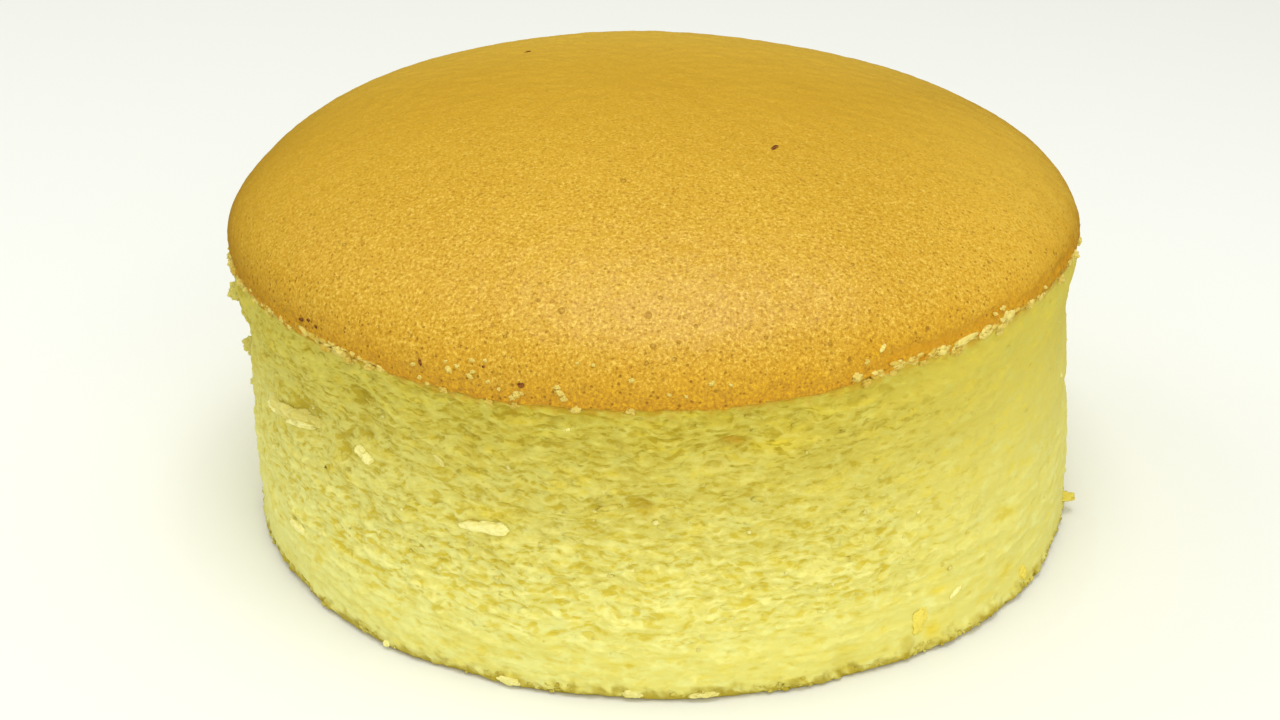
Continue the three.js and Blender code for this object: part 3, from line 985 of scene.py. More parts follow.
@dataclass(frozen=True)
class CrustFinish:
    """Browned skin: golden tan with a fine grain, small dark pores and a deeper orange rim, made lighter to
    the right and at the back with painted light; its bright grain specks are partly painted glints.

    Steps are the four numbers of a ramp, and sizes are in millimetres. A ramp named for a way, such as
    backwards, runs along the piece in metres. Ring pores are named pores: azimuth, height and radius.
    """

    skin: Colour = (207, 163, 36)
    # Painted light: a lighter skin tone to the right and at the back.
    painted_lit_tone: Colour = (240, 200, 69)
    shade: Colour = (198, 151, 26)
    # The glint colours are bright grain specks, partly painted glints.
    glint: Colour = (232, 194, 80)
    dark: Colour = (176, 125, 4)
    rim: Colour = (203, 142, 0)
    rim_glint: Colour = (228, 178, 8)
    pore: Colour = (152, 102, 0)
    hem: Colour = (224, 204, 96)
    cloud_size: float = 26.0
    cloud_share: Steps = (0.3, 0.7, 0.15, 0.45)
    # These ramps bring in the painted light to the right and at the back.
    rightwards: Steps = (0.035, 0.09, 0, 0.5)
    backwards: Steps = (-0.01, 0.08, 0, 0.9)
    grain_size: float = 0.62
    grain_frontwards: Steps = (0.01, -0.085, 0.3, 1.35)
    grain_backwards: Steps = (0.03, 0.075, 0.3, 0.8)
    bright_share: Steps = (0.5, 0.7, 0, 1.0)
    dark_share: Steps = (0.5, 0.3, 0, 1.0)
    coarse_size: float = 1.5
    coarse_share: Steps = (0.54, 0.72, 0, 0.4)
    pore_crowd: Steps = (0.0, 0.35, 0.65, 1.3)
    pore_tone: float = 0.55
    ring_share: float = 0.85
    ring_pores: tuple[tuple[float, float, float], ...] = (
        (-9.7, 76.4, 0.75),
        (1.4, 76.2, 0.8),
        (1.5, 72.2, 0.6),
        (3.7, 70.2, 0.5),
        (4.6, 72.6, 0.4),
        (7.1, 74.6, 0.4),
        (3.3, 78.2, 0.5),
        (-12.9, 77.4, 0.45),
        (-13.1, 79.3, 0.4),
        (15.1, 71.9, 0.45),
        (-45.2, 78.0, 0.55),
        (-42.3, 78.9, 0.45),
        (0.4, 69.7, 0.5),
        (-16.6, 72.3, 0.4),
        (22.5, 69.4, 0.45),
        (-1.1, 89.2, 0.7),
        (31.1, 78.6, 0.4),
    )

    def make(self) -> bpy.types.Material:
        """Builds the material.

        Returns:
            The material, which reads the attributes rim, crease and browning.
        """
        shader = Shader("browned_crust", 0.4, 0.46)
        rim = shader.attribute("rim")
        place = shader.split(shader.place)
        frontwards = shader.ramp(place["Y"], *self.grain_frontwards)
        frontwards = shader.larger(frontwards, shader.ramp(place["Y"], *self.grain_backwards))
        grain = shader.noise(shader.place, self.grain_size, 3, 0.8)
        coarse = shader.noise(shader.stretched((1, 1, 1), 0.4), self.coarse_size, 3, 0.6)
        clouds = shader.noise(shader.place, self.cloud_size, 2, 0.5)
        tone = shader.mix(shader.ramp(clouds, *self.cloud_share), self.skin, self.shade)
        # Painted light to the right and at the back.
        painted_light_share = shader.ramp(place["X"], *self.rightwards)
        painted_light_share = shader.larger(painted_light_share, shader.ramp(place["Y"], *self.backwards))
        tone = shader.mix(painted_light_share, tone, self.painted_lit_tone)
        tone = shader.mix(rim, tone, self.rim)
        # Bright grain specks, partly painted glints, and dark grain; their contrast grows towards the front.
        bright = shader.times(shader.ramp(grain, *self.bright_share), frontwards)
        dark = shader.times(shader.ramp(grain, *self.dark_share), frontwards)
        tone = shader.mix(bright, tone, shader.mix(shader.ramp(rim, 0.1, 0.6), self.glint, self.rim_glint))
        tone = shader.mix(dark, tone, self.dark)
        tone = shader.mix(shader.ramp(coarse, *self.coarse_share), tone, self.shade)
        pores = self.pores(shader, shader.ramp(rim, *self.pore_crowd), frontwards)
        tone = shader.mix(shader.times(pores, self.pore_tone), tone, self.pore)
        tone = shader.mix(shader.attribute("crease"), tone, self.rim)
        tone = shader.mix(shader.attribute("browning"), self.hem, tone)
        pitted = shader.bump(shader.less(1.0, pores), 0.16, 0.8)
        lumpy = shader.bump(coarse, 0.25, 0.4, pitted)
        return shader.finish(tone, shader.bump(grain, 0.3, 0.35, lumpy))

    def pores(self, shader: Shader, crowd: Socket, frontwards: Socket) -> Socket:
        """Gives small pores in two sizes, more of them where they crowd, and the named ring pores."""
        small = shader.dots(shader.place, 1.2, 0.26, 0.38)
        large = shader.dots(shader.stretched((1, 1, 1), 0.71), 3.6, 0.46, 0.3)
        pores = shader.times(shader.larger(small, large), crowd)
        pores = shader.times(pores, shader.maths("MINIMUM", frontwards, 1.0))
        for azimuth, height, radius in self.ring_pores:
            middle = FORM.stances(np.array([azimuth]), np.array([height]))[0][0]
            pores = shader.larger(pores, shader.ring(middle, self.ring_share * radius))
        return pores


@dataclass(frozen=True)
class CrumbFinish:
    """Loose crumb and torn skin, from a plain tone to a pale one."""

    name: str
    plain: Colour
    pale: Colour
    gold: Colour

    def make(self) -> bpy.types.Material:
        """Builds the material.

        Returns:
            The material, which reads the attributes pale and gold.
        """
        shader = Shader(self.name, 0.9, 0.15)
        patches = shader.noise(shader.place, 1.3, 3, 0.6)
        tone = shader.mix(shader.attribute("pale"), self.plain, self.pale)
        gold = shader.larger(shader.ramp(patches, 0.5, 0.7, 0, 0.4), shader.attribute("gold"))
        tone = shader.mix(gold, tone, self.gold)
        fine = shader.noise(shader.place, 0.5, 3, 0.6)
        return shader.finish(tone, shader.bump(fine, 0.4, 0.8))


LOOSE_CRUMB = CrumbFinish("loose_crumb", (196, 180, 66), (250, 243, 160), (240, 220, 84))
SKIN_CRUMB = CrumbFinish("skin_crumb", (208, 176, 66), (238, 222, 126), (204, 162, 44))


@dataclass(frozen=True)
class ScorchFinish:
    """Bits of crust baked dark brown."""

    dark: Colour = (92, 50, 12)
    edge: Colour = (160, 98, 24)

    def make(self) -> bpy.types.Material:
        """Builds the material."""
        shader = Shader("scorched_crust", 0.6, 0.3)
        patches = shader.noise(shader.place, 0.5, 2, 0.6)
        tone = shader.mix(shader.ramp(patches, 0.4, 0.65), self.dark, self.edge)
        return shader.finish(tone, shader.bump(patches, 0.1, 0.6))


# Pieces


@dataclass
class SpongeWall:
    """The torn side of the cake with its flat underside; its own top is hidden in the crust."""

    finish: bpy.types.Material
    steps: int = 640
    wall_rows: int = 134
    foot_rows: int = 4
    underside_rings: tuple[float, ...] = (30, 58, 78)
    tuck_height: float = 64.0
    tuck_rows: int = 3
    tuck_depth: float = 0.35
    ledges: Crag = Crag(4.6, 1.7, 1, 3, 1.1)
    ledge_depth: float = 0.36
    ledge_painted_shading: float = 0.05
    crumb: Crag = Crag(2.2, 0.95, 2, 5)
    crumb_depth: float = 0.17
    crumb_painted_shading: float = 0.06
    nibs: Crag = Crag(1.2, 0.8, 1, 9)
    nib_depth: float = 0.05
    pits: Crag = Crag(2.6, 1.2, 1, 13)
    pit_depth: float = 0.42
    pit_painted_shade: float = 0.14
    ripples: Crag = Crag(11, 1.7, 2, 15)
    ripple_zone: tuple[float, float, float] = (9, 24, 6)
    ripple_depth: float = 0.17
    ripple_painted_shading: float = 0.07
    calm_relief: float = 0.05
    calm_tone: float = 0.5
    plain_tone: float = 0.5
    hollow_painted_shade: float = 0.34
    mark_painted_shade_and_highlight: float = 0.35
    foot_fade: float = 3.0
    eave_fade: float = 1.5
    underside_fade: float = 4.0
    groove_depth: float = 0.5
    groove_drop: float = 2.6
    groove_half_height: float = 1.3
    under_crust_height: float = 0.8
    foot_grain: Crag = Crag(1.6, 1.0, 2, 17, 0.22)
    foot_grain_zone: tuple[float, float, float] = (0.5, 2.4, 0.5)
    foot_brown_and_shade: float = 0.9
    foot_lump_brown: float = 0.45
    most_foot_brown_and_shade: float = 0.95
    foot_brown_height: float = 2.0
    foot_brown_grain: Crag = Crag(2.0, 2.0, 2, 23, 0.8)
    least_foot_brown_height: float = 0.8
    eave_brown: float = 0.7
    eave_brown_height: float = 2.2
    eave_brown_grain: Crag = Crag(1.8, 1.8, 2, 19)
    least_eave_brown_height: float = 0.5
    yolk_share: float = 0.85
    yolk_patches: tuple[Patch, ...] = (
        Patch(-42.1, 33.7, 1.6, 1.3),
        Patch(-21.1, 35.8, 5.5, 1.5),
        Patch(14.6, 52.0, 5.0, 1.6),
        Patch(37.2, 13.1, 2.6, 0.9),
        Patch(36.0, 5.0, 2.2, 2.2),
        Patch(50.9, 8.4, 2.6, 1.8),
        Patch(-50.3, 11.1, 1.4, 1.1),
    )
    foot_lumps: tuple[Patch, ...] = (
        Patch(32.0, 4.2, 1.9, 1.7),
        Patch(31.7, 1.8, 0.9, 1.2),
        Patch(43.9, 2.6, 2.2, 1.3),
        Patch(47.5, 1.8, 2.6, 0.9),
        Patch(38.5, 1.5, 2.4, 0.8),
        Patch(54.2, 2.4, 1.7, 1.6),
        Patch(61.0, 2.2, 2.2, 1.1),
    )
    lump_depth: float = 0.75
    brown_patches: tuple[tuple[Patch, float], ...] = (
        (Patch(9.4, 53.4, 1.5, 0.8), 0.6),
        (Patch(10.3, 52.6, 1.0, 0.7), 0.6),
        (Patch(-0.9, 39.4, 2.0, 1.2), 0.28),
    )
    marks: tuple[Mark, ...] = PAINTED_SHADE_PITS + PAINTED_HIGHLIGHT_LIPS
    mark_depth: float = 0.35
    piece: Piece = field(init=False)

    def profile(self) -> list[tuple[float, float]]:
        """Gives the profile from the middle of the underside to the middle of the hidden top."""
        form = FORM
        points = [(0.0, 0.0)]
        points += [(radius, 0.0) for radius in self.underside_rings]
        points.append((form.foot_flat_radius, 0.0))
        for row in range(1, self.foot_rows + 1):
            turn = row / self.foot_rows * math.pi / 2
            reach = (form.pan_radius - form.foot_flat_radius) * math.sin(turn)
            points.append((form.foot_flat_radius + reach, form.foot_round * (1 - math.cos(turn))))
        for row in range(1, self.wall_rows + 1):
            height = blend(form.foot_round, form.eave_height, row / self.wall_rows)
            points.append((float(form.wall_radius(np.array(height))), float(height)))
        for row in range(1, self.tuck_rows + 1):
            height = blend(form.eave_height, self.tuck_height, row / self.tuck_rows)
            points.append((form.eave_radius - self.tuck_depth * row, float(height)))
        points.append((0.0, self.tuck_height))
        return points

    def torn(self, points: np.ndarray) -> tuple[np.ndarray, np.ndarray]:
        """Works out the fine torn relief.

        Args:
            points: Rows of x, y, z on the true round.

        Returns:
            How far each point stands proud in millimetres, and the same as a tone from 0, deep, to 1, proud.
        """
        form = FORM
        azimuth, _, height = polar(points)
        share = blend(self.calm_relief, 1, form.fine_share(azimuth, height))
        eave_share = ease(form.eave_height - self.eave_fade, form.eave_height, height)
        fade = ease(0, self.foot_fade, height) * (1 - eave_share)
        ledges = np.tanh(self.ledges.at(points))
        crumb = np.clip(self.crumb.at(points), -2, 2)
        nibs = self.nibs.at(points)
        pits = ease(1.0, 2.0, self.pits.at(points))
        ripples = np.tanh(self.ripples.at(points)) * between(*self.ripple_zone, height)
        proud = self.ledge_depth * ledges + self.crumb_depth * crumb + self.nib_depth * nibs
        proud = (proud - self.pit_depth * pits) * share * fade + self.ripple_depth * ripples
        # The tone is painted shading: painted shade in pits and low places, painted highlight on ledges,
        # crumbs and ripples that stand proud.
        tone = self.ledge_painted_shading * ledges + self.crumb_painted_shading * crumb - self.pit_painted_shade * pits
        tone = self.plain_tone + tone * blend(self.calm_tone, 1, share) + self.ripple_painted_shading * ripples
        # Hollows: painted shade in the dark ones, a paler tone where their shade is positive.
        for hollow in form.hollows:
            share = hollow.share(azimuth, height, form.neck_radius)
            tone = tone + self.hollow_painted_shade * hollow.shade * share
        # Marks: painted shade in the pits and a painted highlight on the lips.
        for mark in self.marks:
            share = mark.tone * mark.share(azimuth, height, form.neck_radius)
            tone = tone + self.mark_painted_shade_and_highlight * share
            proud = proud + self.mark_depth * share
        for lump in self.foot_lumps:
            proud = proud + self.lump_depth * lump.share(azimuth, height, form.pan_radius)
        return proud, tone

    def surface(self, points: np.ndarray) -> np.ndarray:
        """Gives where points of the true round lie on the torn wall."""
        return FORM.settle(points, self.torn(points)[0])

    def build(self) -> Piece:
        """Models, sculpts and dresses the piece.

        Returns:
            The piece.
        """
        form = FORM
        self.piece = spin_profile("sponge_wall", self.profile(), self.steps)
        true_round = gather_front(corners(self.piece), FRONT_SHARE)
        azimuth, radius, height = polar(true_round)
        outer = ease(form.foot_flat_radius - self.underside_fade, form.foot_flat_radius, radius)
        proud, tone = self.torn(true_round)
        foot_roughness = self.foot_grain.at(true_round) * between(*self.foot_grain_zone, height)
        proud = proud + foot_roughness - self.groove(height) - self.under_crust(height)
        place_corners(self.piece, form.settle(true_round, proud * outer))
        # The stored relief tone is painted shade and painted highlight.
        paint(self.piece, "relief", blend(0.5, tone, outer))
        paint(self.piece, "torn", form.fine_share(azimuth, height) * outer)
        yolk = sum(patch.share(azimuth, height, form.neck_radius) for patch in self.yolk_patches)
        paint(self.piece, "yolk", self.yolk_share * yolk * outer)
        paint(self.piece, "browning", self.browned(true_round) * outer)
        paint(self.piece, "foot", self.browned_and_shaded_foot(true_round))
        hand_over(self.piece, self.finish)
        return self.piece

    def groove(self, height: np.ndarray) -> np.ndarray:
        """Gives the depth of the soft groove below the crust."""
        rise = (height - FORM.eave_height + self.groove_drop) / self.groove_half_height
        return self.groove_depth * np.exp(-(rise**2))

    def under_crust(self, height: np.ndarray) -> np.ndarray:
        """Gives how far the wall's top is drawn in below the crust's hem."""
        eave = FORM.eave_height
        return self.groove_depth * ease(eave - self.under_crust_height, eave, height)

    def browned(self, points: np.ndarray) -> np.ndarray:
        """Gives how browned the wall is, by the crust and in its brown patches."""
        azimuth, _, height = polar(points)
        reach = self.eave_brown_height + self.eave_brown_grain.at(points)
        reach = np.maximum(reach, self.least_eave_brown_height)
        browned = self.eave_brown * ease(FORM.eave_height - reach, FORM.eave_height, height)
        for patch, depth in self.brown_patches:
            browned = browned + depth * patch.share(azimuth, height, FORM.neck_radius)
        return browned

    def browned_and_shaded_foot(self, points: np.ndarray) -> np.ndarray:
        """Gives the foot band, browned skin with painted contact shade along the floor, which ends raggedly
        and is darker on its lumps.
        """
        azimuth, _, height = polar(points)
        top = self.foot_brown_height + self.foot_brown_grain.at(points)
        top = np.maximum(top, self.least_foot_brown_height)
        lumps = sum(lump.share(azimuth, height, FORM.pan_radius) for lump in self.foot_lumps)
        foot = self.foot_brown_and_shade * (1 - ease(0.3 * top, 1.5 * top, height))
        return np.minimum(foot + self.foot_lump_brown * ease(0.15, 0.7, lumps), self.most_foot_brown_and_shade)


@dataclass
class CrustDome:
    """The browned dome with its rounded rim and ragged hem; its own underside is hidden in the sponge."""

    finish: bpy.types.Material
    steps: int = 640
    dome_rows: int = 118
    hem: tuple[tuple[float, float], ...] = (
        (0.0, 62.0),
        (70.0, 62.0),
        (88.4, 61.7),
        (89.3, 61.2),
        (89.75, 61.05),
        (90.0, 61.3),
        (90.08, 61.8),
        (90.1, 62.2),
    )
    ragged: Band = Band(210, 20, 0.6, 121)
    ripple: Band = Band(70, 12, 0.5, 122)
    tatter: Crag = Crag(1.3, 1.3, 2, 43, 0.25)
    tatter_zone: tuple[float, float] = (61.3, 63.0)
    even_front: Sector = Sector(-30, 22, 8)
    even_share: float = 0.55
    outer_zone: tuple[float, float] = (86, 89.5)
    knobs: Crag = Crag(2.6, 1.6, 2, 35, 0.07)
    knob_zone: tuple[float, float] = (63, 68)
    skin_lumps: Crag = Crag(3.2, 3.2, 2, 37, 0.05)
    skin_lump_zone: tuple[float, float] = (62.6, 66)
    crease_sector: Sector = Sector(34, 68, 12)
    crease_depth: float = 0.45
    crease_height: float = 63.7
    crease_half_width: float = 1.3
    crease_wander: Crag = Crag(6, 6, 2, 31, 0.25)
    crease_grain: Crag = Crag(2.2, 2.2, 1, 33, 0.3)
    usual_crease: float = 0.75
    crease_tone: float = 0.7
    pale_sectors: tuple[Sector, ...] = (Sector(30, 100, 6), Sector(-85, -36, 4))
    pale_bottom: float = 60.9
    pale_grain: Crag = Crag(2.4, 2.4, 2, 39, 0.4)
    usual_pale_reach: float = 0.65
    least_pale_reach: float = 0.25
    most_pale_reach: float = 1.6
    rim_tone: float = 0.9
    rim_fall: float = 5.2
    rim_right: Sector = Sector(32, 70, 12)
    rim_right_fall: float = 0.8
    rim_grain: Crag = Crag(7, 7, 2, 41, 0.9)
    least_rim_fall: float = 1.5
    piece: Piece = field(init=False)

    def profile(self) -> list[tuple[float, float]]:
        """Gives the profile from the middle of the hidden underside to the top of the dome."""
        points = list(self.hem)
        for row in range(self.dome_rows):
            height = FORM.crust_height + FORM.dome_rise * math.sin(row / self.dome_rows * math.pi / 2)
            points.append((float(FORM.dome_radius(np.array(height))), height))
        points.append((0.0, FORM.crust_height + FORM.dome_rise))
        return points

    def crease(self, points: np.ndarray) -> np.ndarray:
        """Gives the wrinkle that runs along the rim's right side, from 0 to 1."""
        azimuth, _, height = polar(points)
        wander = self.crease_wander.at(points * (1, 1, 0))
        rise = (height - self.crease_height - wander) / self.crease_half_width
        depth = np.clip(self.usual_crease + self.crease_grain.at(points), 0, 1)
        return self.crease_sector.share(azimuth) * np.exp(-(rise**2)) * depth

    def tattered(self, points: np.ndarray) -> np.ndarray:
        """Gives how far the ragged hem is moved up, which is more even at the front."""
        azimuth, _, height = polar(points)
        tatter = self.ragged.depth * self.ragged.at(azimuth, height)
        tatter = tatter + self.ripple.depth * self.ripple.at(azimuth, height)
        tatter = tatter + self.tatter.at(points * (1, 1, 0))
        even = self.even_share * self.even_front.share(azimuth)
        return tatter * (1 - even) * (1 - ease(*self.tatter_zone, height))

    def browned(self, points: np.ndarray) -> np.ndarray:
        """Gives how browned the hem is, which is paler in patches at the sides."""
        azimuth, _, height = polar(points)
        side = sum(sector.share(azimuth) for sector in self.pale_sectors)
        patchy = self.usual_pale_reach + self.pale_grain.at(points * (1, 1, 0))
        reach = self.least_pale_reach + side * np.clip(patchy, 0, self.most_pale_reach)
        return ease(0.3, 1.0, (height - self.pale_bottom) / reach)

    def rim(self, points: np.ndarray) -> np.ndarray:
        """Gives the deeper tone of the rim, which fades upwards."""
        azimuth, _, height = polar(points)
        fall = self.rim_fall + self.rim_right_fall * self.rim_right.share(azimuth)
        fall = np.maximum(fall + self.rim_grain.at(points), self.least_rim_fall)
        return self.rim_tone * np.exp(-np.maximum(height - FORM.eave_height, 0) / fall)

    def build(self) -> Piece:
        """Models, sculpts and dresses the piece.

        Returns:
            The piece.
        """
        self.piece = spin_profile("crust_dome", self.profile(), self.steps)
        true_round = gather_front(corners(self.piece), FRONT_SHARE)
        _, radius, height = polar(true_round)
        outer = ease(*self.outer_zone, radius)
        crease = self.crease(true_round)
        knobs = self.knobs.at(true_round) * (1 - ease(*self.knob_zone, height)) * outer
        settled = FORM.settle(true_round, knobs - self.crease_depth * crease)
        settled[:, 2] += self.tattered(true_round) * outer
        settled[:, 2] += self.skin_lumps.at(true_round) * ease(*self.skin_lump_zone, height)
        place_corners(self.piece, settled)
        paint(self.piece, "browning", self.browned(true_round))
        paint(self.piece, "rim", self.rim(true_round))
        paint(self.piece, "crease", self.crease_tone * crease)
        hand_over(self.piece, self.finish)
        return self.piece


@dataclass
class WallFlakes:
    """The named flakes of torn crumb that stand off the wall."""

    finish: bpy.types.Material
    scraps: tuple[Scrap, ...] = (
        Scrap(-61.6, 39.0, 5.6, 1.8, 2.5, 4, 0.7, 0.0, 0.6),
        Scrap(-56.4, 39.6, 7.0, 2.9, 2.6, 4, 0.5, 0.1, 0.6),
        Scrap(-53.2, 40.0, 7.4, 3.2, 2.5, 5, 0.4, 0.1, 0.6),
        Scrap(-38.3, 40.1, 2.8, 2.2, 2.8, -30, 0.95, 0.0, 0.8),
        Scrap(-23.0, 32.3, 6.4, 1.9, 2.8, 5, 1.0, 0.0, 0.7),
        Scrap(-20.6, 32.6, 6.8, 2.5, 3.0, 5, 1.0, 0.0, 0.7),
        Scrap(-55.1, 15.0, 5.0, 2.0, 1.8, -14, 0.9),
        Scrap(-75.0, 54.0, 3.4, 3.6, 3.4, 20, 0.3),
        Scrap(-80.0, 59.2, 2.2, 1.6, 2.2, 10, 0.3),
        Scrap(-82.0, 50.2, 2.0, 1.4, 1.9, -15, 0.3),
        Scrap(-80.0, 46.6, 2.4, 1.2, 1.7, 12, 0.4),
        Scrap(-76.0, 41.6, 3.0, 3.0, 3.2, -15, 0.3),
        Scrap(-81.0, 36.4, 2.2, 1.3, 1.6, 0, 0.4),
        Scrap(-79.0, 31.0, 2.6, 1.2, 1.4, -10, 0.4),
        Scrap(34.0, 8.1, 3.4, 5.4, 1.0, -24, 0.6, 0.8),
        Scrap(56.0, 4.4, 3.2, 3.4, 1.4, 40, 0.5, 0.8),
        Scrap(80.0, 3.6, 3.4, 1.6, 5.0, 6, 0.2, 0.5),
        Scrap(128, 36.0, 9.0, 2.4, 2.2, 3, 0.6),
        Scrap(-160, 47.0, 7.0, 2.6, 2.4, -6, 0.6),
        Scrap(-112, 22.0, 8.0, 2.2, 2.0, 2, 0.6),
        Scrap(-27.0, 45.0, 2.8, 1.2, 1.0, -50, 0.4),
        Scrap(40.0, 11.3, 3.6, 1.2, 1.2, 28, 1.0),
        Scrap(-36.7, 1.2, 1.8, 1.4, 1.6, 0, 0.9),
        Scrap(-18.9, 1.3, 4.6, 1.7, 1.6, -4, 0.8),
        Scrap(-3.6, 1.6, 3.8, 1.6, 1.4, 0, 0.7),
        Scrap(5.0, 1.4, 5.6, 1.3, 1.4, 2, 0.6),
        Scrap(-9.8, 56.6, 1.2, 0.8, 0.9, 20, 0.95),
        Scrap(-59.2, 39.3, 6.6, 2.3, 2.5, 4, 0.55, 0.1, 0.6),
        Scrap(-50.6, 40.4, 6.4, 2.7, 2.0, 6, 0.3, 0.1, 0.6),
        Scrap(-59.6, 38.6, 8.4, 1.4, 3.0, 3, 1.0, 0.0, 0.8),
        Scrap(-52.8, 38.8, 8.0, 1.6, 3.1, 6, 0.95, 0.0, 0.8),
        Scrap(-19.5, 32.75, 3.6, 2.4, 3.0, 5, 1.0, 0.0, 0.7),
        Scrap(-39.3, 40.9, 2.6, 2.2, 2.4, -20, 0.85, 0.0, 0.8),
    )
    piece: Piece = field(init=False)

    def build(self) -> Piece:
        """Models the flakes one by one and joins them.

        Returns:
            The piece.
        """
        made = [model_scrap(scrap, 4, 50 + 2 * index) for index, scrap in enumerate(self.scraps)]
        self.piece = join_pieces(made, "wall_flakes")
        hand_over(self.piece, self.finish)
        return self.piece


@dataclass(frozen=True)
class Litter:
    """One kind of small torn bits that is scattered over the skin.

    Attributes:
        name: The piece's name.
        count: How many bits at most.
        sectors: From and to azimuths in degrees.
        heights: Lowest and highest place in millimetres on the true round.
        sizes: Smallest and largest radius in millimetres.
        shape: Length, thickness and rise as shares of the radius.
        slant: Usual slant in degrees.
        sunk: How deep the middle lies under the skin, in millimetres.
        tear_share: How far the bits keep to where the wall tore.
        tones: Name of each number that the finish reads, and its lowest and highest value.
        seed: Which draw.
        clusters: Where the bits lie closer together.
    """

    name: str
    count: int
    sectors: tuple[tuple[float, float], ...]
    heights: tuple[float, float]
    sizes: tuple[float, float]
    shape: tuple[float, float, float]
    slant: float
    sunk: float
    tear_share: float
    tones: tuple[tuple[str, float, float], ...]
    seed: int
    clusters: Crag = Crag(6, 3.5, 2, 61)

    def spots(self, draw: np.random.Generator) -> tuple[np.ndarray, np.ndarray]:
        """Draws where the bits sit: azimuths in degrees, and heights."""
        tries = self.count * 5
        widths = np.array([end - start for start, end in self.sectors])
        picked = draw.choice(len(self.sectors), tries, p=widths / widths.sum())
        azimuth = np.array([start for start, _ in self.sectors])[picked] + widths[picked] * draw.random(tries)
        azimuth = (azimuth + 180) % 360 - 180
        height = draw.uniform(*self.heights, tries)
        points = FORM.skin_points(np.radians(azimuth), height)
        torn = FORM.fine_share(np.radians(azimuth), height)
        crowd = blend(1, torn**1.6, self.tear_share) * ease(-1.2, 1.2, self.clusters.at(points))
        kept = np.flatnonzero(draw.random(tries) < crowd)[: self.count]
        return azimuth[kept], height[kept]


@dataclass
class Scatter:
    """Small torn bits of one kind: a few pebbles modelled, and copied all over the skin."""

    litter: Litter
    finish: bpy.types.Material
    slot: Slot
    wall: SpongeWall
    kinds: int = 6
    piece: Piece = field(init=False)

    def pebble(self, index: int) -> Piece:
        """Models one rough pebble of a few dozen faces, 1 mm in radius."""
        bpy.ops.object.select_all(action="DESELECT")
        bpy.ops.mesh.primitive_uv_sphere_add(segments=6, ring_count=4, radius=MM, location=(0, 0, 0))
        piece = bpy.context.active_object
        ball = corners(piece)
        rough = ball * (1 + Crag(0.7, 0.7, 1, 200 + index, 0.22).at(ball))[:, None]
        piece.data.vertices.foreach_set("co", (rough * MM).astype(np.float32).ravel())
        return piece

    def build(self) -> Piece:
        """Models the pebbles, copies them over the skin and joins the copies.

        Returns:
            The piece.
        """
        litter = self.litter
        draw = np.random.default_rng(litter.seed)
        azimuth, height = litter.spots(draw)
        count = len(azimuth)
        pebbles = [self.pebble(index) for index in range(self.kinds)]
        shapes = np.stack([corners(pebble) for pebble in pebbles])
        sides = [tuple(face.vertices) for face in pebbles[0].data.polygons]
        for pebble in pebbles:
            bpy.data.objects.remove(pebble)
        smallest, largest = litter.sizes
        size = smallest + (largest - smallest) * draw.random(count) ** 2.5
        stretch = size[:, None] * np.array(litter.shape) * draw.uniform(0.75, 1.3, (count, 3))
        slant = np.radians(litter.slant) * draw.normal(0, 1, count)
        turn = np.zeros((count, 3, 3))
        turn[:, 0, 0] = turn[:, 2, 2] = np.cos(slant)
        turn[:, 0, 2] = -np.sin(slant)
        turn[:, 2, 0] = np.sin(slant)
        turn[:, 1, 1] = 1
        _, axes = FORM.stances(azimuth, height)
        places = self.wall.surface(FORM.skin_points(np.radians(azimuth), height))
        places = places + litter.sunk * axes[:, :, 1]
        picked = shapes[draw.integers(0, self.kinds, count)] * stretch[:, None, :]
        copies = places[:, None, :] + np.einsum("nij,nvj->nvi", axes @ turn, picked)
        each = shapes.shape[1]
        faces = [tuple(corner + each * copy for corner in side) for copy in range(count) for side in sides]
        mesh = bpy.data.meshes.new(litter.name)
        mesh.from_pydata(copies.reshape(-1, 3) * MM, [], faces)
        mesh.shade_smooth()
        self.piece = bpy.data.objects.new(litter.name, mesh)
        bpy.context.scene.collection.objects.link(self.piece)
        place_corners(self.piece, corners(self.piece))
        for name, low, high in litter.tones:
            paint(self.piece, name, np.repeat(blend(low, high, draw.random(count)), each))
        hand_over(self.piece, self.finish)
        return self.piece


SHREDS = Litter(
    name="torn_shreds",
    count=900,
    sectors=((-180, 180),),
    heights=(8, 58.5),
    sizes=(0.7, 2.0),
    shape=(1.15, 0.4, 0.38),
    slant=11,
    sunk=0.32,
    tear_share=1.0,
    tones=(("relief", 0.48, 0.56), ("torn", 0.5, 0.8)),
    seed=7,
)
LOOSE_CRUMBS = Litter(
    name="loose_crumbs",
    count=220,
    sectors=((-180, 180),),
    heights=(8, 50),
    sizes=(0.25, 0.7),
    shape=(1.1, 0.7, 0.75),
    slant=40,
    sunk=0.0,
    tear_share=0.8,
    tones=(("pale", 0.2, 0.85),),
    seed=8,
)
RIM_FRINGE = Litter(
    name="rim_fringe",
    count=640,
    sectors=((-84, -34), (26, 72), (95, 268)),
    heights=(60.7, 62.4),
    sizes=(0.35, 1.05),
    shape=(1.5, 0.6, 0.6),
    slant=22,
    sunk=0.05,
    tear_share=0.0,
    tones=(("pale", 0.0, 0.8),),
    seed=9,
)
FOOT_NIBS = Litter(
    name="foot_nibs",
    count=420,
    sectors=((-180, 180),),
    heights=(0.6, 2.6),
    sizes=(0.3, 0.85),
    shape=(1.2, 0.6, 0.7),
    slant=30,
    sunk=0.1,
    tear_share=0.0,
    # The nibs take some of the foot band's browning and painted contact shade.
    tones=(("relief", 0.42, 0.6), ("torn", 0.3, 0.5), ("foot", 0.3, 0.95)),
    seed=10,
)


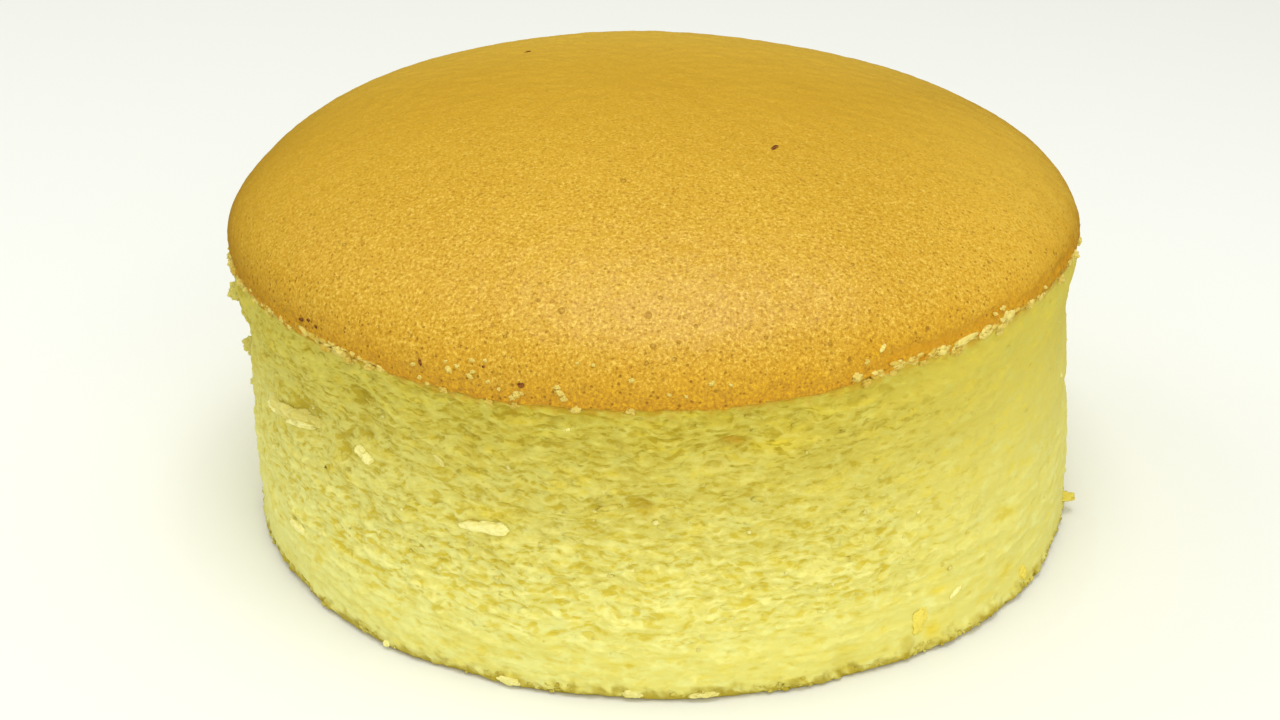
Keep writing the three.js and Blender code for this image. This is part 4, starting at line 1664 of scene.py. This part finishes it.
@dataclass(frozen=True)
class CrumbRun:
    """A run of crumbs along the crust's lower edge: azimuths in degrees and a mean size in millimetres."""

    start: float
    end: float
    count: int
    size: float
    seed: int

    def scraps(self) -> list[Scrap]:
        """Gives the run's crumbs."""
        made = []
        for index in range(self.count):
            draw = [float(lattice(np.array(index), np.array(row), self.seed)) for row in range(5)]
            size = self.size * (1 + 0.3 * draw[2])
            azimuth = blend(self.start, self.end, (index + 0.5 + 0.4 * draw[1]) / self.count)
            height = FORM.eave_height - 0.5 + 0.6 * draw[3]
            tone = 0.4 + 0.35 * draw[0]
            length, thickness, slant = 1.2 * size, 0.8 * size, 25 * draw[4]
            made.append(Scrap(azimuth, height, length, thickness, thickness, slant, tone, 0.0, 1.7))
        return made


@dataclass
class RimCrumbs:
    """Crumbs and shreds of torn skin that cling to the rim and along the crust's lower edge."""

    finish: bpy.types.Material
    runs: tuple[CrumbRun, ...] = (
        CrumbRun(-79, -63, 4, 1.9, 51),
        CrumbRun(-44, -33, 5, 2.0, 52),
        CrumbRun(-29, 2, 5, 1.6, 53),
        CrumbRun(24, 58, 6, 1.9, 54),
        CrumbRun(62, 78, 3, 2.1, 55),
        CrumbRun(96, 268, 14, 1.8, 56),
    )
    on_crust: tuple[tuple[float, float, float], ...] = (
        (-64.3, 61.1, 1.5),
        (-57.7, 61.7, 1.0),
        (-54.6, 61.9, 0.9),
        (-52.4, 61.8, 1.2),
        (-41.4, 62.3, 0.9),
        (-39.7, 62.3, 0.9),
        (-38.1, 62.3, 1.1),
        (-36.8, 61.9, 1.2),
        (-28.5, 64.9, 0.9),
        (-27.8, 62.7, 1.1),
        (-26.9, 61.8, 1.1),
        (-23.6, 65.7, 1.3),
        (-24.0, 67.0, 0.7),
        (-22.5, 66.6, 1.0),
        (-20.6, 68.1, 0.9),
        (-18.9, 68.4, 0.8),
        (-20.5, 66.2, 0.9),
        (-20.9, 65.4, 1.2),
        (-18.7, 64.9, 0.8),
        (-17.4, 63.9, 0.7),
        (-15.3, 63.3, 1.4),
        (-15.9, 62.6, 1.2),
        (-14.7, 63.7, 0.8),
        (-10.3, 65.3, 1.1),
        (-10.1, 64.3, 1.4),
        (-9.7, 63.3, 1.2),
        (-7.7, 69.5, 0.6),
        (-5.8, 69.3, 0.7),
        (-1.6, 66.9, 0.9),
        (2.4, 64.3, 0.8),
        (4.3, 63.9, 0.7),
        (7.5, 66.0, 1.1),
        (9.6, 65.4, 0.7),
        (24.7, 62.5, 2.0),
        (26.2, 64.7, 1.1),
        (31.0, 62.0, 0.7),
        (32.1, 62.0, 1.1),
        (46.4, 64.2, 0.9),
        (48.0, 64.5, 1.2),
    )
    shreds: tuple[Scrap, ...] = (
        Scrap(28.6, 66.0, 2.0, 0.9, 0.9, 35, 0.9),
        Scrap(40.6, 62.0, 5.6, 1.3, 1.3, 6, 0.8, 0.0, 1.7),
        Scrap(44.4, 62.3, 2.6, 1.1, 1.2, 10, 0.8, 0.0, 1.6),
        Scrap(48.8, 62.0, 3.8, 2.4, 1.5, 18, 0.85, 0.0, 1.7),
        Scrap(47.4, 59.8, 1.9, 0.9, 1.1, 10, 0.8),
        Scrap(54.5, 61.7, 2.8, 1.1, 1.3, -12, 0.8),
        Scrap(-67.5, 60.6, 3.4, 1.2, 1.3, -10, 0.6),
        Scrap(-60.5, 61.0, 3.0, 1.0, 1.2, 8, 0.7),
    )
    piece: Piece = field(init=False)

    def build(self) -> Piece:
        """Models the crumbs one by one and joins them.

        Returns:
            The piece.
        """
        scraps = [scrap for run in self.runs for scrap in run.scraps()]
        for azimuth, height, size in self.on_crust:
            slant = 25 * math.sin(7 * azimuth)
            scraps.append(Scrap(azimuth, height, 1.1 * size, 0.8 * size, 0.9 * size, slant, 0.5, 0.0, 1.6))
        scraps += self.shreds
        made = [model_scrap(scrap, 3, 100 + 2 * index) for index, scrap in enumerate(scraps)]
        self.piece = join_pieces(made, "rim_crumbs")
        hand_over(self.piece, self.finish)
        return self.piece


@dataclass
class ScorchedBits:
    """Small bits of crust that baked dark brown, on the dome and near the rim."""

    finish: bpy.types.Material
    bits: tuple[Scrap, ...] = (
        Scrap(42.3, 90.3, 2.7, 0.9, 0.4, 16),
        Scrap(-138.9, 91.6, 1.6, 0.9, 0.35, 0),
        Scrap(-47.4, 64.4, 1.7, 0.8, 0.5, 10),
        Scrap(-45.8, 65.0, 1.1, 0.7, 0.5, 20),
        Scrap(-44.4, 64.4, 0.9, 0.6, 0.5, -30),
        Scrap(-27.5, 65.6, 1.5, 0.6, 0.5, -60),
        Scrap(-14.6, 65.1, 1.3, 0.9, 0.5, 10),
        Scrap(-19.1, 67.4, 0.7, 0.5, 0.4, 0),
    )
    piece: Piece = field(init=False)

    def build(self) -> Piece:
        """Models the bits one by one and joins them.

        Returns:
            The piece.
        """
        made = [model_scrap(bit, 3, 400 + 2 * index) for index, bit in enumerate(self.bits)]
        self.piece = join_pieces(made, "scorched_bits")
        hand_over(self.piece, self.finish)
        return self.piece


# Studio


@dataclass(frozen=True)
class Softbox:
    """A square light: its place, its side and the place it points at in metres, its power in watts."""

    name: str
    place: tuple[float, float, float]
    side: float
    power: float
    colour: Colour = (1.0, 1.0, 1.0)
    mirrored: bool = True
    target: tuple[float, float, float] = (0, 0, 0.05)

    def build(self) -> None:
        """Hangs the light and points it at the cake."""
        light = bpy.data.lights.new(self.name, "AREA")
        light.size = self.side
        light.energy = self.power
        light.color = self.colour
        lamp = bpy.data.objects.new(self.name, light)
        lamp.location = self.place
        lamp.visible_glossy = self.mirrored
        lamp.rotation_mode = "QUATERNION"
        lamp.rotation_quaternion = (Vector(self.target) - Vector(self.place)).to_track_quat("-Z", "Y")
        bpy.context.scene.collection.objects.link(lamp)


@dataclass
class Studio:
    """Plain pale floor, soft light and the camera at the photo's angle, in metres and degrees."""

    floor_side: float = 6.0
    floor_drop: float = 0.0001
    floor_colour: Colour = (238, 239, 231)
    sky_strength: float = 0.7
    lens: float = 61.94
    camera_place: tuple[float, float, float] = (0.00104, -0.4421, 0.2375)
    pitch: float = 25.27
    yaw: float = -0.76
    lights: tuple[Softbox, ...] = (
        Softbox("overhead", (0.04, -0.17, 0.95), 0.46, 3.45),
        Softbox("left_window", (-0.85, 0.35, 0.75), 0.6, 1.7, (0.95, 1.0, 0.95), mirrored=False),
        Softbox("front_fill", (0.24, -1.1, 0.55), 0.9, 4.7, mirrored=False),
    )

    def build(self) -> None:
        """Sets the floor, the light and the camera."""
        bpy.ops.object.select_all(action="DESELECT")
        bpy.ops.mesh.primitive_plane_add(size=self.floor_side, location=(0, 0, -self.floor_drop))
        floor = bpy.context.active_object
        floor.name = "floor"
        shader = Shader("pale_floor", 0.9, 0.2)
        shader.surface.inputs["Base Color"].default_value = linear(*self.floor_colour)
        floor.data.materials.append(shader.material)
        floor.visible_glossy = False
        world = bpy.data.worlds.new("pale_sky")
        world.use_nodes = True
        world.node_tree.nodes["Background"].inputs["Color"].default_value = (1, 1, 1, 1)
        world.node_tree.nodes["Background"].inputs["Strength"].default_value = self.sky_strength
        world.cycles_visibility.glossy = False
        bpy.context.scene.world = world
        for softbox in self.lights:
            softbox.build()
        bpy.context.scene.view_settings.view_transform = "Standard"
        self.build_camera()

    def build_camera(self) -> None:
        """Sets the camera where the photo's camera stood."""
        camera = bpy.data.objects.new("camera", bpy.data.cameras.new("camera"))
        camera.data.lens = self.lens
        camera.data.clip_start = 0.01
        camera.location = self.camera_place
        pitch, yaw = math.radians(self.pitch), math.radians(self.yaw)
        ahead = Vector((math.sin(yaw) * math.cos(pitch), math.cos(yaw) * math.cos(pitch), -math.sin(pitch)))
        camera.rotation_mode = "QUATERNION"
        camera.rotation_quaternion = ahead.to_track_quat("-Z", "Y")
        bpy.context.scene.collection.objects.link(camera)
        bpy.context.scene.camera = camera


def main() -> None:
    """Builds the studio and every piece of the cake."""
    logging.basicConfig(level=logging.INFO, format="%(asctime)s %(name)s: %(message)s")
    Studio().build()
    sponge = SpongeFinish().make()
    crumb = LOOSE_CRUMB.make()
    skin_crumb = SKIN_CRUMB.make()
    wall = SpongeWall(sponge)
    wall.build()
    CrustDome(CrustFinish().make()).build()
    WallFlakes(crumb).build()
    RimCrumbs(skin_crumb).build()
    ScorchedBits(ScorchFinish().make()).build()
    Scatter(SHREDS, sponge, Slot.SPONGE, wall).build()
    Scatter(FOOT_NIBS, sponge, Slot.SPONGE, wall).build()
    Scatter(LOOSE_CRUMBS, crumb, Slot.SPONGE, wall).build()
    Scatter(RIM_FRINGE, skin_crumb, Slot.SPONGE, wall).build()


if __name__ == "__main__":
    main()
